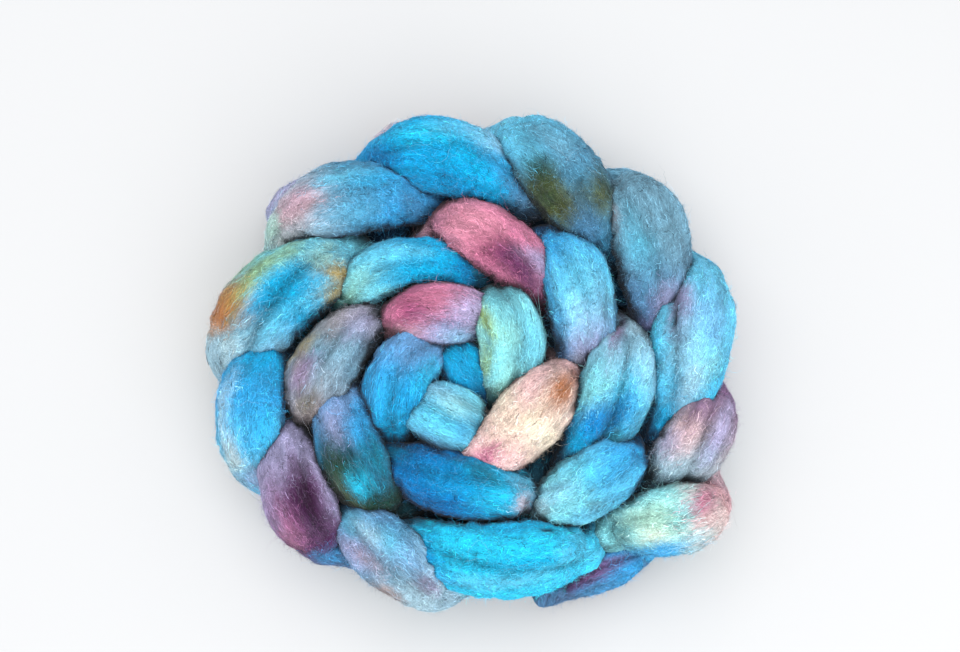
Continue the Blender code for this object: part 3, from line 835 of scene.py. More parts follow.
def wrap(row):
    """The control point where a loop turns round behind the next stitch."""
    tip = plan_of(row, 1.0)
    travel = tip - plan_of(row, 0.0)
    beyond = tip + travel / np.linalg.norm(travel) * WRAP_REACH
    half = row.width / 2.0 * WRAP_SHARE
    return stop(*beyond, WRAP_HEIGHT, half, half, WRAP_PHASE)


def hidden_run(row, following):
    """Control points from the lower leg's tail to the next stitch's tail, inside."""
    tail = plan_of(row, 0.0)
    after = plan_of(following, 0.0)
    onward = (after - tail) / np.linalg.norm(after - tail)
    inward = np.array([onward[1], -onward[0]])
    neck = tail + inward * NECK_INSET
    half = row.width / 2.0 * NECK_SHARE
    points = [stop(*neck, RUN_HEIGHT, half, RUN_HALF_DEPTH, RUN_PHASES[0])]
    for share, phase in zip(RUN_SHARES, RUN_PHASES[1:]):
        place = tail + (after - tail) * share + inward * RUN_INSET
        points.append(stop(*place, RUN_HEIGHT, RUN_HALF_WIDTH, RUN_HALF_DEPTH, phase))
    return points


def tucked_end(row):
    """The strand's last control point, tucked in under the coil."""
    tail = plan_of(row, 0.0)
    end = END_HALF_WIDTH
    return stop(*(tail * END_TUCK), LOWER_MIDDLE_HEIGHT, end, end, RUN_PHASES[0])


def route():
    """Every control point of the strand, from the middle of the coil outwards."""
    points = []
    for number, row in enumerate(STITCHES):
        stops = [*upper_leg(row), wrap(row), *lower_leg(row)]
        if row is STITCHES[-1]:
            stops.append(tucked_end(row))
        else:
            stops += hidden_run(row, STITCHES[number + 1])
        points += [(*place[:-1], number + place[-1]) for place in stops]
    return np.array(points)


def smooth_curve(points):
    """Closely spaced points of a smooth curve through these, and how far along each is."""
    steps = np.sqrt(np.linalg.norm(np.diff(points[:, :3], axis=0), axis=1))
    knots = np.concatenate([[0.0], np.cumsum(steps)])
    slopes = np.gradient(points, knots, axis=0)
    t = np.linspace(0.0, 1.0, CURVE_STEPS, endpoint=False)[:, None]
    dense = []
    for i, gap in enumerate(np.diff(knots)):
        piece = (
            (2 * t**3 - 3 * t**2 + 1) * points[i]
            + (t**3 - 2 * t**2 + t) * slopes[i] * gap
            + (3 * t**2 - 2 * t**3) * points[i + 1]
            + (t**3 - t**2) * slopes[i + 1] * gap
        )
        piece[:, -1] = points[i, -1] + (points[i + 1, -1] - points[i, -1]) * t[:, 0]
        dense.append(piece)
    dense = np.concatenate([*dense, points[-1:]])
    gone = np.linalg.norm(np.diff(dense[:, :3], axis=0), axis=1)
    return dense, np.concatenate([[0.0], np.cumsum(gone)])


def ring_places(along, phase, spacing):
    """How far along each ring lies: close together where the strand shows."""
    times = np.interp(phase % 1.0, *zip(*RING_SPREAD))
    count = np.concatenate([[0.0], np.cumsum(np.diff(along) / (times[1:] * spacing))])
    return np.interp(np.arange(int(count[-1]) + 1), count, along)


def unit(vectors):
    """These vectors at a length of one."""
    return vectors / np.linalg.norm(vectors, axis=-1, keepdims=True)


def section_directions(centres):
    """Two directions square to the strand at each point, turning as little as they can."""
    tangents = unit(np.gradient(centres, axis=0))
    sides = [unit(np.cross(tangents[0], [0.0, 0.0, 1.0]))]
    for tangent in tangents[1:]:
        sides.append(unit(sides[-1] - tangent * np.dot(sides[-1], tangent)))
    sides = np.array(sides)
    return sides, np.cross(tangents, sides)


def unevenness(places, seed):
    """Smooth noise from -1 to 1 at these places, with bumps about one unit across."""
    lattice = np.random.default_rng(seed).uniform(-1.0, 1.0, (LATTICE,) * 3)
    corner = np.floor(places).astype(int)
    part = places - corner
    part = part * part * (3.0 - 2.0 * part)
    total = np.zeros(places.shape[:-1])
    for step in product((0, 1), repeat=3):
        share = np.where(step, part, 1.0 - part).prod(axis=-1)
        cell = (corner + step) % LATTICE
        total += share * lattice[cell[..., 0], cell[..., 1], cell[..., 2]]
    return total


def strand_places(rings, stretch, size):
    """Places for noise that follows the strand: bumps of this size, drawn out along it."""
    along = rings.along[:, None] / (size * stretch)
    across = rings.across[:, None]
    return np.stack(
        [
            np.broadcast_to(along, (len(along), len(rings.around))),
            across * np.cos(rings.around) / size,
            across * np.sin(rings.around) / size + LATTICE_OFFSET,
        ],
        axis=-1,
    )


def noise_on(rings, noise):
    """This noise at each point of the rings, from -1 to 1."""
    return unevenness(strand_places(rings, noise.stretch, noise.size), noise.seed)


def mixed_noise(rings, parts):
    """The sum of several noises, each with its share."""
    return sum(share * noise_on(rings, noise) for share, noise in parts)


# ---------------------------------------------------------------------------
# Dyeing the strand


def dye_colours(settings):
    """Each dye on the light's own scale, made paler: loose wool deepens its own colour."""
    power = SCREEN_GAMMA * DYE_PALING
    return {name: np.array(getattr(settings, name)) ** power for name in DYES}


def base_dyes(phase, colours):
    """The dye that each ring took as a whole, passing gradually from one to the next."""
    phases, shades = [], []
    for number, base in enumerate(BASES):
        for at, dye in zip(BASE_PHASES, (*base, base.lower)):
            phases.append(number + at)
            shades.append(colours[dye])
    shades = np.array(shades)
    return np.stack([np.interp(phase, phases, channel) for channel in shades.T], axis=-1)


def take(place, out, splash, ragged):
    """How much of a splash each point took: full in its middle, with feathered edges."""
    along = (place - splash.place) / splash.length
    across = (out - splash.out) / splash.breadth
    off = (along**2 + across**2) * (1.0 + RAGGEDNESS * ragged)
    return splash.strength * np.exp(-SPLASH_EDGE * np.maximum(off, 0.0) ** SPLASH_FALL)


def as_seen(places):
    """Where places appear to whoever looks at the face: right and up, in millimetres."""
    x, y, z = np.moveaxis(places - SEEN_MIDDLE, -1, 0)
    nearer = z * math.sin(SEEN_FROM) - y * math.cos(SEEN_FROM)
    up = y * math.sin(SEEN_FROM) + z * math.cos(SEEN_FROM)
    scale = SEEN_DISTANCE / (SEEN_DISTANCE - nearer)
    return np.stack([x * scale, up * scale], axis=-1)


def beside_leg(row, places):
    """The share of an upper leg at which each place appears, and how far out it does."""
    tail = as_seen(np.array([row.tail_x, row.tail_y, row.tail_z]))
    tip = as_seen(np.array([row.tip_x, row.tip_y, row.tip_z]))
    length = np.linalg.norm(tip - tail)
    travel = (tip - tail) / length
    outward = np.array([-travel[1], travel[0]])
    off = as_seen(places) - tail
    share = off @ travel / length
    swell = 4.0 * np.clip(share * (1.0 - share), 0.0, None)
    return share, (off @ outward - row.bow * swell) / (row.width / 2.0)


def splash_dyes(shades, rings, places, out, colours):
    """Splashes the dyes on: on each upper leg, and weaker on the leg under it."""
    wander = mixed_noise(rings, WANDER_ALONG)
    edge = mixed_noise(rings, WANDER_ACROSS)
    ragged = mixed_noise(rings, RAGGED)
    for stitch, rows in SPLASHES.items():
        number = stitch - 1
        first, last = (number + phase for phase in SPLASH_REACH)
        upper = slice(*np.searchsorted(rings.phase, [first, number + WRAP_PHASE]))
        lower = slice(*np.searchsorted(rings.phase, [number + WRAP_PHASE, last]))
        place_over, out_over = beside_leg(STITCHES[number], places[upper])
        through = rings.phase[lower, None] - number
        place_under = (LOWER_ENDS - through) / (LOWER_ENDS - LOWER_STARTS)
        for splash in (Splash(*row) for row in rows):
            for part, place, beside, share in (
                (upper, place_over, out_over, 1.0),
                (lower, place_under, out[lower], LOWER_TAKE),
            ):
                took = take(place + wander[part], beside + edge[part], splash, ragged[part])
                took = (share * took)[..., None]
                shades[part] += (colours[splash.dye] - shades[part]) * took


# ---------------------------------------------------------------------------
# The surface of the strand


def crease_troughs(rings, spread):
    """How far the surface is drawn in by the crease, around each section."""
    crown = np.arctan2(rings.ups[:, 2], rings.rights[:, 2])
    off = rings.around[None, :] - (crown - np.radians(rings.crease_at))[:, None]
    off = (off + math.pi) % (2.0 * math.pi) - math.pi
    return rings.crease[:, None] * np.exp(-np.abs(off / spread) ** CREASE_FALL)


def groove(noise):
    """1 along the lines where this noise changes sign, falling off on each side."""
    return np.exp(-((noise / GROOVE_WIDTH) ** 2))


def grid_normals(places):
    """The outward direction at each point of the skin."""
    ahead = np.gradient(places, axis=0)
    beside = np.roll(places, -1, axis=1) - np.roll(places, 1, axis=1)
    return unit(np.cross(beside, ahead) + TINY)


def depth_inside(places):
    """How deep each place lies inside the solid, in millimetres; less than 0 outside."""
    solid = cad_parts[CAD_NODE]
    corners = [v.co for v in solid.data.vertices]
    tree = BVHTree.FromPolygons(corners, [tuple(p.vertices) for p in solid.data.polygons])
    depths = []
    for place in (places.reshape(-1, 3) * MM).tolist():
        near, normal, _, _ = tree.find_nearest(place)
        off = Vector(place) - near
        depths.append(-math.copysign(off.length / MM, off.dot(normal)))
    return np.array(depths).reshape(places.shape[:-1])


def scattered_directions(count):
    """Directions over the half of a sphere above, most of them near its top."""
    step = np.arange(count) + 0.5
    outwards = np.sqrt(step / count)
    turn = step * math.pi * (3.0 - math.sqrt(5.0))
    height = np.sqrt(1.0 - step / count)
    return np.stack([outwards * np.cos(turn), outwards * np.sin(turn), height], axis=1)


def sky_seen(places, normals, shown):
    """The share of the light round each point that its neighbours leave it, from 0 to 1."""
    rings, sides = places.shape[:2]
    corners, faces = (places.reshape(-1, 3) * MM).tolist(), quad_grid(rings, sides).tolist()
    tree = BVHTree.FromPolygons(corners, faces)
    first = unit(np.cross(normals, ASLANT))
    second = np.cross(normals, first)
    seen = np.zeros(shown.size)
    asked = np.flatnonzero(shown.ravel() > 0.0)
    starts = ((places + normals * SKY_START) * MM).reshape(-1, 3)[asked].tolist()
    for x, y, z in scattered_directions(SKY_RAYS):
        ways = (first * x + second * y + normals * z).reshape(-1, 3)[asked].tolist()
        for point, start, way in zip(asked, starts, ways):
            if tree.ray_cast(start, way, SKY_REACH * MM)[0] is None:
                seen[point] += 1.0 / SKY_RAYS
    seen = seen.reshape(rings, sides)
    around = (np.roll(seen, 1, axis=1) + np.roll(seen, -1, axis=1)) / 2.0
    seen[1:-1] = (seen[1:-1] * 2.0 + around[1:-1] + (seen[:-2] + seen[2:]) / 2.0) / 4.0
    return seen


# The strand's sections. centres: where they lie. rights, ups: the two directions of each.
# along: how far along the strand. across, deep: half width and half depth. crease_at,
# crease: where the crease is, and how deep. phase: the place in the stitch. around: the
# angles of the sides, the same for each section.
Rings = namedtuple("Rings", "centres rights ups along across deep crease_at crease phase around")

# The strand's finished surface, with a value for each ring (along, across, phase) or for each point.
# shades: its dye, with painted shade in the grooves and creases. combed: its place on the strand
# laid out straight. shown: whether it can be seen at all, from 0 to 1. sky: how much light reaches
# it.
Skin = namedtuple("Skin", "places normals shades along across phase combed shown sky")


def lay_rings(settings):
    """The sections of the strand along its route, and the directions they lie in."""
    dense, gone = smooth_curve(route())
    along = ring_places(gone, dense[:, -1], settings.ring_spacing)
    curve = np.stack([np.interp(along, gone, column) for column in dense.T], axis=1)
    centres = curve[:, :3]
    across, deep, crease_at, crease, phase = curve[:, 3:].T
    rights, ups = section_directions(centres)
    around = np.arange(settings.sides) * 2.0 * math.pi / settings.sides
    return Rings(centres, rights, ups, along, across, deep, crease_at, crease, phase, around)


def wool_relief(rings, settings, spread):
    """How far the wool reaches from the centre line, and how grooved it is there."""
    pleats = noise_on(rings, PLEATS)
    puffs = noise_on(rings, PUFFS)
    squeezed = np.clip(noise_on(rings, SQUEEZES) * SQUEEZE_CONTRAST, 0.0, 1.0)
    crinkles = squeezed * groove(noise_on(rings, CRINKLES))
    folds = 2.0 * np.abs(pleats) + FINE_PLEATS_SHARE * noise_on(rings, FINE_PLEATS)
    folds -= PLEATS_LEVEL
    dents = np.abs(puffs) + TUFTS_SHARE * np.abs(noise_on(rings, TUFTS)) - DENTS_LEVEL
    reach = rings.across[:, None] + settings.lump_depth * noise_on(rings, LUMPS)
    reach += settings.pleat_depth * folds + settings.puff_depth * dents
    reach -= settings.crinkle_depth * crinkles
    reach -= settings.crease_depth * crease_troughs(rings, spread)
    return reach, groove(pleats) + groove(puffs) + crinkles


def dye_with_painted_shade(rings, places, out, grooves, spread, dyes):
    """The colour at each point: a base dye, the splashes on it, and painted shade down in the
    grooves and along the creases.
    """
    colours = dye_colours(dyes)
    shades = np.repeat(base_dyes(rings.phase, colours)[:, None, :], len(rings.around), axis=1)
    splash_dyes(shades, rings, places, out, colours)
    shades *= (1.0 + MOTTLE * mixed_noise(rings, MOTTLING))[..., None]
    # painted shade: darker down in the grooves and along the creases
    shades *= (1.0 - PAINTED_GROOVE_SHADE * np.minimum(grooves, MOST_GROOVES))[..., None]
    line = crease_troughs(rings, spread * PAINTED_CREASE_LINE)
    shades *= (1.0 - np.minimum(PAINTED_CREASE_SHADE * line, DARKEST_PAINTED_CREASE))[..., None]
    return shades


def wind_strand(settings, dyes):
    """The strand's skin: where each point of its rings lies, and the dye there, with painted shade
    in its grooves and creases.
    """
    rings = lay_rings(settings)
    spread = settings.crease_spread
    reach, grooves = wool_relief(rings, settings, spread)
    offsets = (
        np.cos(rings.around)[None, :, None] * rings.rights[:, None, :]
        + np.sin(rings.around)[None, :, None] * rings.ups[:, None, :]
    )
    out = (offsets * crown_side(rings.centres)[:, None, :]).sum(axis=-1)
    offsets = offsets * reach[:, :, None]
    offsets[:, :, 2] *= (rings.deep / rings.across)[:, None]
    wound = rings.centres[:, None, :] + offsets
    shades = dye_with_painted_shade(rings, wound, out, grooves, spread, dyes)

    places = stand_in_box(wound)
    normals = grid_normals(places)
    shown = np.clip((HIDDEN_DEPTH - depth_inside(places)) / HIDDEN_FADE, 0.0, 1.0)
    sky = sky_seen(places, normals, shown)
    combed = strand_places(rings, COMB_STRETCH, 1.0)
    return Skin(places, normals, shades, rings.along, rings.across, rings.phase, combed, shown, sky)


def crown_side(centres):
    """The level direction across the strand at each ring, outwards from the coil."""
    tangents = unit(np.gradient(centres, axis=0))
    level = np.stack([-tangents[:, 1], tangents[:, 0], np.zeros(len(centres))], axis=1)
    level = unit(level + TINY)
    outwards = (level[:, :2] * centres[:, :2]).sum(axis=1)
    return level * np.where(outwards < 0.0, -1.0, 1.0)[:, None]


def stand_in_box(places):
    """Moves the strand to where its solid stands, and presses its underside flat."""
    low, high = (np.array(corner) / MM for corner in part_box(CAD_NODE))
    flat = places.reshape(-1, 3)
    middle = (flat.min(axis=0) + flat.max(axis=0)) / 2.0
    shift = (low + high) / 2.0 - middle
    places = places + [shift[0], shift[1], -FOOT_HEIGHT]
    places[..., 2] = np.maximum(places[..., 2], 0.0)
    return places


# ---------------------------------------------------------------------------
# Meshes


def quad_grid(rings, sides):
    """The four corners of each face of a tube, ring by ring."""
    start = np.arange(rings - 1)[:, None] * sides
    side = np.arange(sides)[None, :]
    here, there = start + side, start + (side + 1) % sides
    return np.stack([here, there, there + sides, here + sides], axis=-1).reshape(-1, 4)


def atlas(phase, turn):
    """Where a place on the strand lies on the flat map: one cell for each stitch."""
    number = np.clip(np.floor(phase), 0, len(STITCHES) - 1)
    through = np.interp(phase - number, *zip(*ATLAS_SHARES))
    column, row = number % ATLAS_COLUMNS, number // ATLAS_COLUMNS
    margin = ATLAS_MARGIN
    u = (column + margin + (1.0 - 2.0 * margin) * through) / ATLAS_COLUMNS
    v = (row + margin + (1.0 - 2.0 * margin) * turn) / ATLAS_ROWS
    return np.stack([u, v], axis=-1)


def add_vectors(mesh, name, kind, values):
    """Keeps a value for each point of the mesh."""
    kept = mesh.attributes.new(name, kind, "POINT")
    slot_name = "color" if kind == "FLOAT_COLOR" else "vector"
    kept.data.foreach_set(slot_name, values.astype(np.float32).ravel())


def add_shades(mesh, shades):
    """Keeps the colour at each point of the mesh: the dye, with the painted shade in it."""
    clear = np.ones((len(shades), 1))
    add_vectors(mesh, "dye", "FLOAT_COLOR", np.hstack([np.clip(shades, 0.0, 1.0), clear]))


def piece_of(name, places, faces, material):
    """A new piece of the coil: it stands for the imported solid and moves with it."""
    mesh = bpy.data.meshes.new(name)
    mesh.from_pydata((places * MM).tolist(), [], faces.tolist())
    mesh.update()
    mesh.shade_smooth()
    mesh.materials.append(material)
    piece = bpy.data.objects.new(name, mesh)
    bpy.context.scene.collection.objects.link(piece)
    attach(piece, BODY)
    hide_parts(CAD_NODE)
    return piece


def add_map(mesh, corner_places):
    """The flat map on which the dye can be painted out."""
    layer = mesh.uv_layers.new(name="OFBake")
    layer.data.foreach_set("uv", corner_places.astype(np.float32).ravel())


def painted_crevice_shade(shades, sky, strength):
    """Painted shade: the dyes made darker between the turns, where the wool sees little of the sky.

    Pale wool darkens less, since it passes more light on to its neighbours.
    """
    light = 1.0 + (np.interp(sky, *zip(*PAINTED_CREVICE_SHADES)) - 1.0) * strength
    return shades * light ** (1.0 - PALE_SHADE_SPARING * np.clip(shades, 0.0, 1.0))


def strand_piece(skin, material):
    """The strand as one long tube, with both its ends inside the coil."""
    rings, sides = skin.places.shape[:2]
    faces = quad_grid(rings, sides)
    piece = piece_of("wool_strand", skin.places.reshape(-1, 3), faces, material)
    ring, side = (grid.ravel() for grid in np.mgrid[0 : rings - 1, 0:sides])
    number = np.floor(skin.phase[ring])
    corners = []
    for ring_step, side_step in ((0, 0), (0, 1), (1, 1), (1, 0)):
        at = np.clip(skin.phase[ring + ring_step], number, number + STITCH_END)
        corners.append(atlas(at, (side + side_step) / sides))
    add_map(piece.data, np.stack(corners, axis=1))
    # painted shade: darker under the top fibres and down in the crevices
    shades = PAINTED_SHADE_UNDER_FIBRES * painted_crevice_shade(skin.shades, skin.sky[..., None], 1.0)
    add_shades(piece.data, shades.reshape(-1, 3))
    add_vectors(piece.data, "combed", "FLOAT_VECTOR", skin.combed.reshape(-1, 3))


# ---------------------------------------------------------------------------
# Fibres

made = {}  # the wound strand's skin, for the fibres to follow


def between(grid, ring, side):
    """The grid's value between its rings and its sides, which go all the way round."""
    sides = grid.shape[1]
    low = np.clip(ring.astype(int), 0, len(grid) - 2)
    onward = np.clip(ring - low, 0.0, 1.0)[..., None]
    left = np.floor(side).astype(int)
    beside = (side - left)[..., None]
    left, right = left % sides, (left + 1) % sides
    near = grid[low, left] * (1.0 - beside) + grid[low, right] * beside
    far = grid[low + 1, left] * (1.0 - beside) + grid[low + 1, right] * beside
    return near * (1.0 - onward) + far * onward


def root_places(skin, count, rng, shares):
    """Rings and sides where fibres grow: only where the strand shows."""
    rings, sides = skin.places.shape[:2]
    spacing = np.gradient(skin.along)[:, None]
    upward = np.clip(skin.normals[..., 2], -1.0, 1.0)
    wanted = np.interp(upward, *zip(*shares))
    shown = skin.shown * (LEAST_OPEN + skin.sky)
    weight = (spacing * skin.across[:, None] * wanted * shown).ravel()
    chosen = rng.choice(weight.size, count, p=weight / weight.sum())
    ring = np.clip(chosen // sides + rng.random(count), 0, rings - END_MARGIN)
    return ring, chosen % sides + rng.random(count)


def fibre_lines(skin, comb, ring, side, rng):
    """Each fibre's line over the skin: the ring and the side at each of its points."""
    rings, sides = skin.places.shape[:2]
    count = len(ring)
    start = np.interp(ring, np.arange(rings), skin.along)
    radius = np.interp(ring, np.arange(rings), skin.across)
    length = comb.length * rng.uniform(*LENGTH_SPAN, count)
    heading = rng.normal(0.0, comb.tilt, count) + math.pi * rng.integers(0, 2, count)
    curl = rng.normal(0.0, comb.bend, count)
    wave = rng.uniform(0.0, 2.0 * math.pi, count)

    t = np.linspace(0.0, 1.0, comb.steps + 1)[None, :]
    turned = heading[:, None] + curl[:, None] * t
    turned = turned + comb.crimp * np.sin(wave[:, None] + t * length[:, None] * CRIMPS)
    step = length[:, None] / comb.steps
    gone = np.cumsum(np.cos(turned) * step, axis=1)
    strayed = np.cumsum(np.sin(turned) * step, axis=1)
    at = np.interp(start[:, None] + gone - gone[:, :1], skin.along, np.arange(rings))
    turn = side[:, None] + (strayed - strayed[:, :1]) * sides / (2.0 * math.pi * radius[:, None])
    return at, turn


def ribbons(skin, comb, at, turn, rng):
    """Flat, tapered ribbons along these lines, which lie on the skin or rise off it."""
    count, stops = at.shape
    t = np.linspace(0.0, 1.0, stops)[None, :]
    places = between(skin.places, at, turn)
    normals = unit(between(skin.normals, at, turn))
    lift = np.minimum(rng.gamma(LIFT_SPREAD, 1.0 / LIFT_SPREAD, count), MOST_LIFT)
    lift = comb.lift * lift[:, None]
    arch = comb.arch * rng.random((count, 1))
    height = lift * t**LIFT_POWER + arch * np.sin(math.pi * t) - comb.sink * (1.0 - t)
    places = places + normals * height[..., None]

    ahead = unit(np.gradient(places, axis=1) + TINY)
    sideways = unit(np.cross(normals, ahead) + TINY)
    roll = rng.normal(0.0, ROLL, (count, 1))[..., None]
    sideways = sideways * np.cos(roll) + normals * np.sin(roll)
    half = comb.width / 2.0 * rng.uniform(*WIDTH_SPAN, (count, 1)) * (ROOT_WIDTH - t**2)
    edges = sideways * half[..., None]
    points = np.stack([places - edges, places + edges], axis=2)
    points[..., 2] = np.maximum(points[..., 2], FLOOR_GAP)
    return points


def ribbon_faces(count, steps):
    """The four corners of each straight piece of each ribbon."""
    ribbon = np.arange(count)[:, None] * 2 * (steps + 1)
    link = ribbon + 2 * np.arange(steps)[None, :]
    return np.stack([link, link + 1, link + 3, link + 2], axis=-1).reshape(-1, 4)


def fibre_shades(skin, comb, ring, side, rng):
    """The colour of each fibre: the dye of the wool it grows in, with painted shade down in the
    gaps.
    """
    count, last = len(ring), len(skin.places) - 2
    dyed_at = ring + rng.normal(0.0, DYE_DRIFT[0], count)
    dyed_turn = side + rng.normal(0.0, DYE_DRIFT[1], count)
    shades = between(skin.shades, np.clip(dyed_at, 0, last), dyed_turn)
    shades = np.clip(shades * (1.0 + rng.normal(0.0, LOCK_VARIETY, (count, 1))), 0.0, 1.0)
    shades = shades + (PALE_WOOL - shades) * (comb.lightness * rng.random((count, 1)))
    sky = between(skin.sky[..., None], np.clip(ring, 0, last), side)
    return painted_crevice_shade(shades, sky, comb.shaded)


def fibre_piece(name, count, comb, seed):
    """A piece of many fibres: flat, tapered ribbons that follow the strand."""
    skin = made["skin"]
    rng = np.random.default_rng(seed)
    rings, sides = skin.places.shape[:2]
    shares = RAISED_SHARES if comb.lift > RAISED_LIFT else LYING_SHARES
    ring, side = root_places(skin, count, rng, shares)
    at, turn = fibre_lines(skin, comb, ring, side, rng)
    points = ribbons(skin, comb, at, turn, rng).reshape(-1, 3)
    faces = ribbon_faces(count, comb.steps)
    material = bpy.data.materials.get("loose_fibre") or loose_fibre()
    mesh = piece_of(name, points, faces, material).data

    shades = fibre_shades(skin, comb, ring, side, rng)
    add_shades(mesh, np.repeat(shades, 2 * (comb.steps + 1), axis=0))
    combed = np.repeat(between(skin.combed, at, turn), 2, axis=1)
    add_vectors(mesh, "combed", "FLOAT_VECTOR", combed.reshape(-1, 3))
    phase = np.interp(at, np.arange(rings), skin.phase)
    number = np.floor(phase[:, :1])
    flat = atlas(np.clip(phase, number, number + STITCH_END), (turn / sides) % 1.0)
    both = np.repeat(flat[:, :, None, :], 2, axis=2).reshape(-1, 2)
    add_map(mesh, both[faces.ravel()])


# ---------------------------------------------------------------------------
# Materials


class Nodes:
    """Lays out a material's nodes and joins them."""

    def __init__(self, material):
        """Starts from the material's own surface shader."""
        material.use_nodes = True
        self.tree = material.node_tree
        self.surface = self.tree.nodes["Principled BSDF"]

    def add(self, kind, inputs=(), **settings):
        """A new node, with values or other nodes' outputs for its inputs."""
        node = self.tree.nodes.new(kind)
        for name, value in settings.items():
            setattr(node, name, value)
        for socket, value in dict(inputs).items():
            if isinstance(value, bpy.types.NodeSocket):
                self.tree.links.new(value, node.inputs[socket])
            else:
                node.inputs[socket].default_value = value
        return node

    def join(self, output, socket):
        """Joins an output to one of the surface shader's inputs."""
        self.tree.links.new(output, self.surface.inputs[socket])


def streaks(nodes, scale, detail, curl=0.0):
    """Noise drawn out along the strand, as combed fibre is."""
    combed = nodes.add("ShaderNodeAttribute", attribute_name="combed")
    inputs = {"Scale": scale, "Detail": detail, "Distortion": curl}
    inputs["Vector"] = combed.outputs["Vector"]
    return nodes.add("ShaderNodeTexNoise", inputs).outputs["Fac"]


def shaded(nodes, colour, noise, low, high):
    """The colour, made darker and lighter by the noise."""
    span = {"Value": noise, "From Min": 0.3, "From Max": 0.7, "To Min": low, "To Max": high}
    factor = nodes.add("ShaderNodeMapRange", span).outputs["Result"]
    scaled = nodes.add("ShaderNodeVectorMath", operation="SCALE")
    nodes.tree.links.new(colour, scaled.inputs[0])
    nodes.tree.links.new(factor, scaled.inputs["Scale"])
    return scaled.outputs["Vector"]


def matte_wool(nodes):
    """The finish of wool: rough, with a faint sheen."""
    surface = nodes.surface
    surface.inputs["Roughness"].default_value = 0.92
    surface.inputs["Specular IOR Level"].default_value = 0.1
    surface.inputs["Sheen Weight"].default_value = 0.08
    surface.inputs["Sheen Roughness"].default_value = 0.55
    surface.inputs["Sheen Tint"].default_value = (0.92, 0.95, 1.0, 1.0)


def dye_with_painted_pit_shade(nodes):
    """The dye with painted shade in the dents and pits between the tufts, and the noise of each."""
    # the dye attribute also holds the painted shade of the crevices, grooves, creases and under the
    # fibres
    dye = nodes.add("ShaderNodeAttribute", attribute_name="dye").outputs["Color"]
    tufts = streaks(nodes, 0.42, 3.0, 0.8)
    pits = streaks(nodes, 1.3, 2.0, 1.8)
    colour = shaded(nodes, dye, tufts, 0.94, 1.08)
    return shaded(nodes, colour, pits, 0.84, 1.14), tufts, pits


def combed_wool():
    """Dyed wool top, with painted shade in its dents and pits: tufted, with the fine relief of its
    fibres.
    """
    material = bpy.data.materials.new("combed_wool")
    nodes = Nodes(material)
    matte_wool(nodes)
    colour, tufts, pits = dye_with_painted_pit_shade(nodes)
    hairs = streaks(nodes, 3.2, 1.0, 2.5)
    nodes.join(shaded(nodes, colour, hairs, 0.6, 1.35), "Base Color")
    coarse = nodes.add("ShaderNodeBump", {"Height": tufts, "Strength": 0.8, "Distance": 0.0016})
    finer = {"Height": pits, "Strength": 0.8, "Distance": 0.0006, "Normal": coarse.outputs[0]}
    nodes.join(nodes.add("ShaderNodeBump", finer).outputs[0], "Normal")
    return material


def loose_fibre():
    """Single fibres of the dyed wool, with painted shade where they lie in the dents and pits."""
    material = bpy.data.materials.new("loose_fibre")
    nodes = Nodes(material)
    matte_wool(nodes)
    nodes.join(dye_with_painted_pit_shade(nodes)[0], "Base Color")
    return material


def studio_floor(settings):
    """A matt, pale floor with the faintest unevenness."""
    material = bpy.data.materials.new("pale_floor")
    nodes = Nodes(material)
    nodes.surface.inputs["Roughness"].default_value = 0.85
    nodes.surface.inputs["Specular IOR Level"].default_value = 0.2
    place = nodes.add("ShaderNodeNewGeometry").outputs["Position"]
    noise = nodes.add("ShaderNodeTexNoise", {"Vector": place, "Scale": 6.0, "Detail": 1.0})
    darkest = [level * FLOOR_PATCHES for level in settings.floor_colour]
    factor, darker, lighter, mixed = 0, 6, 7, 2  # the mix node's colour sockets
    mix = nodes.add("ShaderNodeMix", data_type="RGBA")
    nodes.tree.links.new(noise.outputs["Fac"], mix.inputs[factor])
    mix.inputs[darker].default_value = (*darkest, 1.0)
    mix.inputs[lighter].default_value = (*settings.floor_colour, 1.0)
    nodes.join(mix.outputs[mixed], "Base Color")
    return material


# ---------------------------------------------------------------------------
# Operators


class WOOL_OT_wind_strand(bpy.types.Operator):
    """Winds and dyes the one thick strand that the whole coil is made of"""

    bl_idname = "wool.wind_strand"
    bl_label = "Wind the strand"

    def execute(self, context):
        scene = context.scene
        made["skin"] = wind_strand(scene.wool, scene.wool_dyes)
        strand_piece(made["skin"], combed_wool())
        return {"FINISHED"}


class WOOL_OT_comb_fibres(bpy.types.Operator):
    """Lays the combed fibres along the strand"""

    bl_idname = "wool.comb_fibres"
    bl_label = "Comb the fibres"

    def execute(self, context):
        settings = context.scene.wool_fibres
        lying = COMBED._replace(length=settings.combed_length, width=settings.combed_width)
        count = settings.combed_count // COMBED_PIECES
        for batch in range(COMBED_PIECES):
            fibre_piece(f"combed_fibres_{batch + 1}", count, lying, COMBED_SEED + batch)
        return {"FINISHED"}


class WOOL_OT_raise_fuzz(bpy.types.Operator):
    """Raises the short fuzz and the long stray fibres off the strand"""

    bl_idname = "wool.raise_fuzz"
    bl_label = "Raise the fuzz"

    def execute(self, context):
        settings = context.scene.wool_fibres
        fuzz = FUZZ._replace(lift=settings.fuzz_lift)
        stray = STRAY._replace(lift=settings.stray_lift)
        fibre_piece("raised_fuzz", settings.fuzz_count, fuzz, FUZZ_SEED)
        fibre_piece("stray_fibres", settings.stray_count, stray, STRAY_SEED)
        return {"FINISHED"}


def soft_light(name, power, size, place):
    """A large soft light at this place, aimed at the middle of the floor."""
    light = bpy.data.lights.new(name, "AREA")
    light.energy = power
    light.shape = "RECTANGLE"
    light.size, light.size_y = size
    lamp = bpy.data.objects.new(name, light)
    bpy.context.scene.collection.objects.link(lamp)
    lamp.location = place
    lamp.rotation_euler = (-Vector(place)).to_track_quat("-Z", "Y").to_euler()


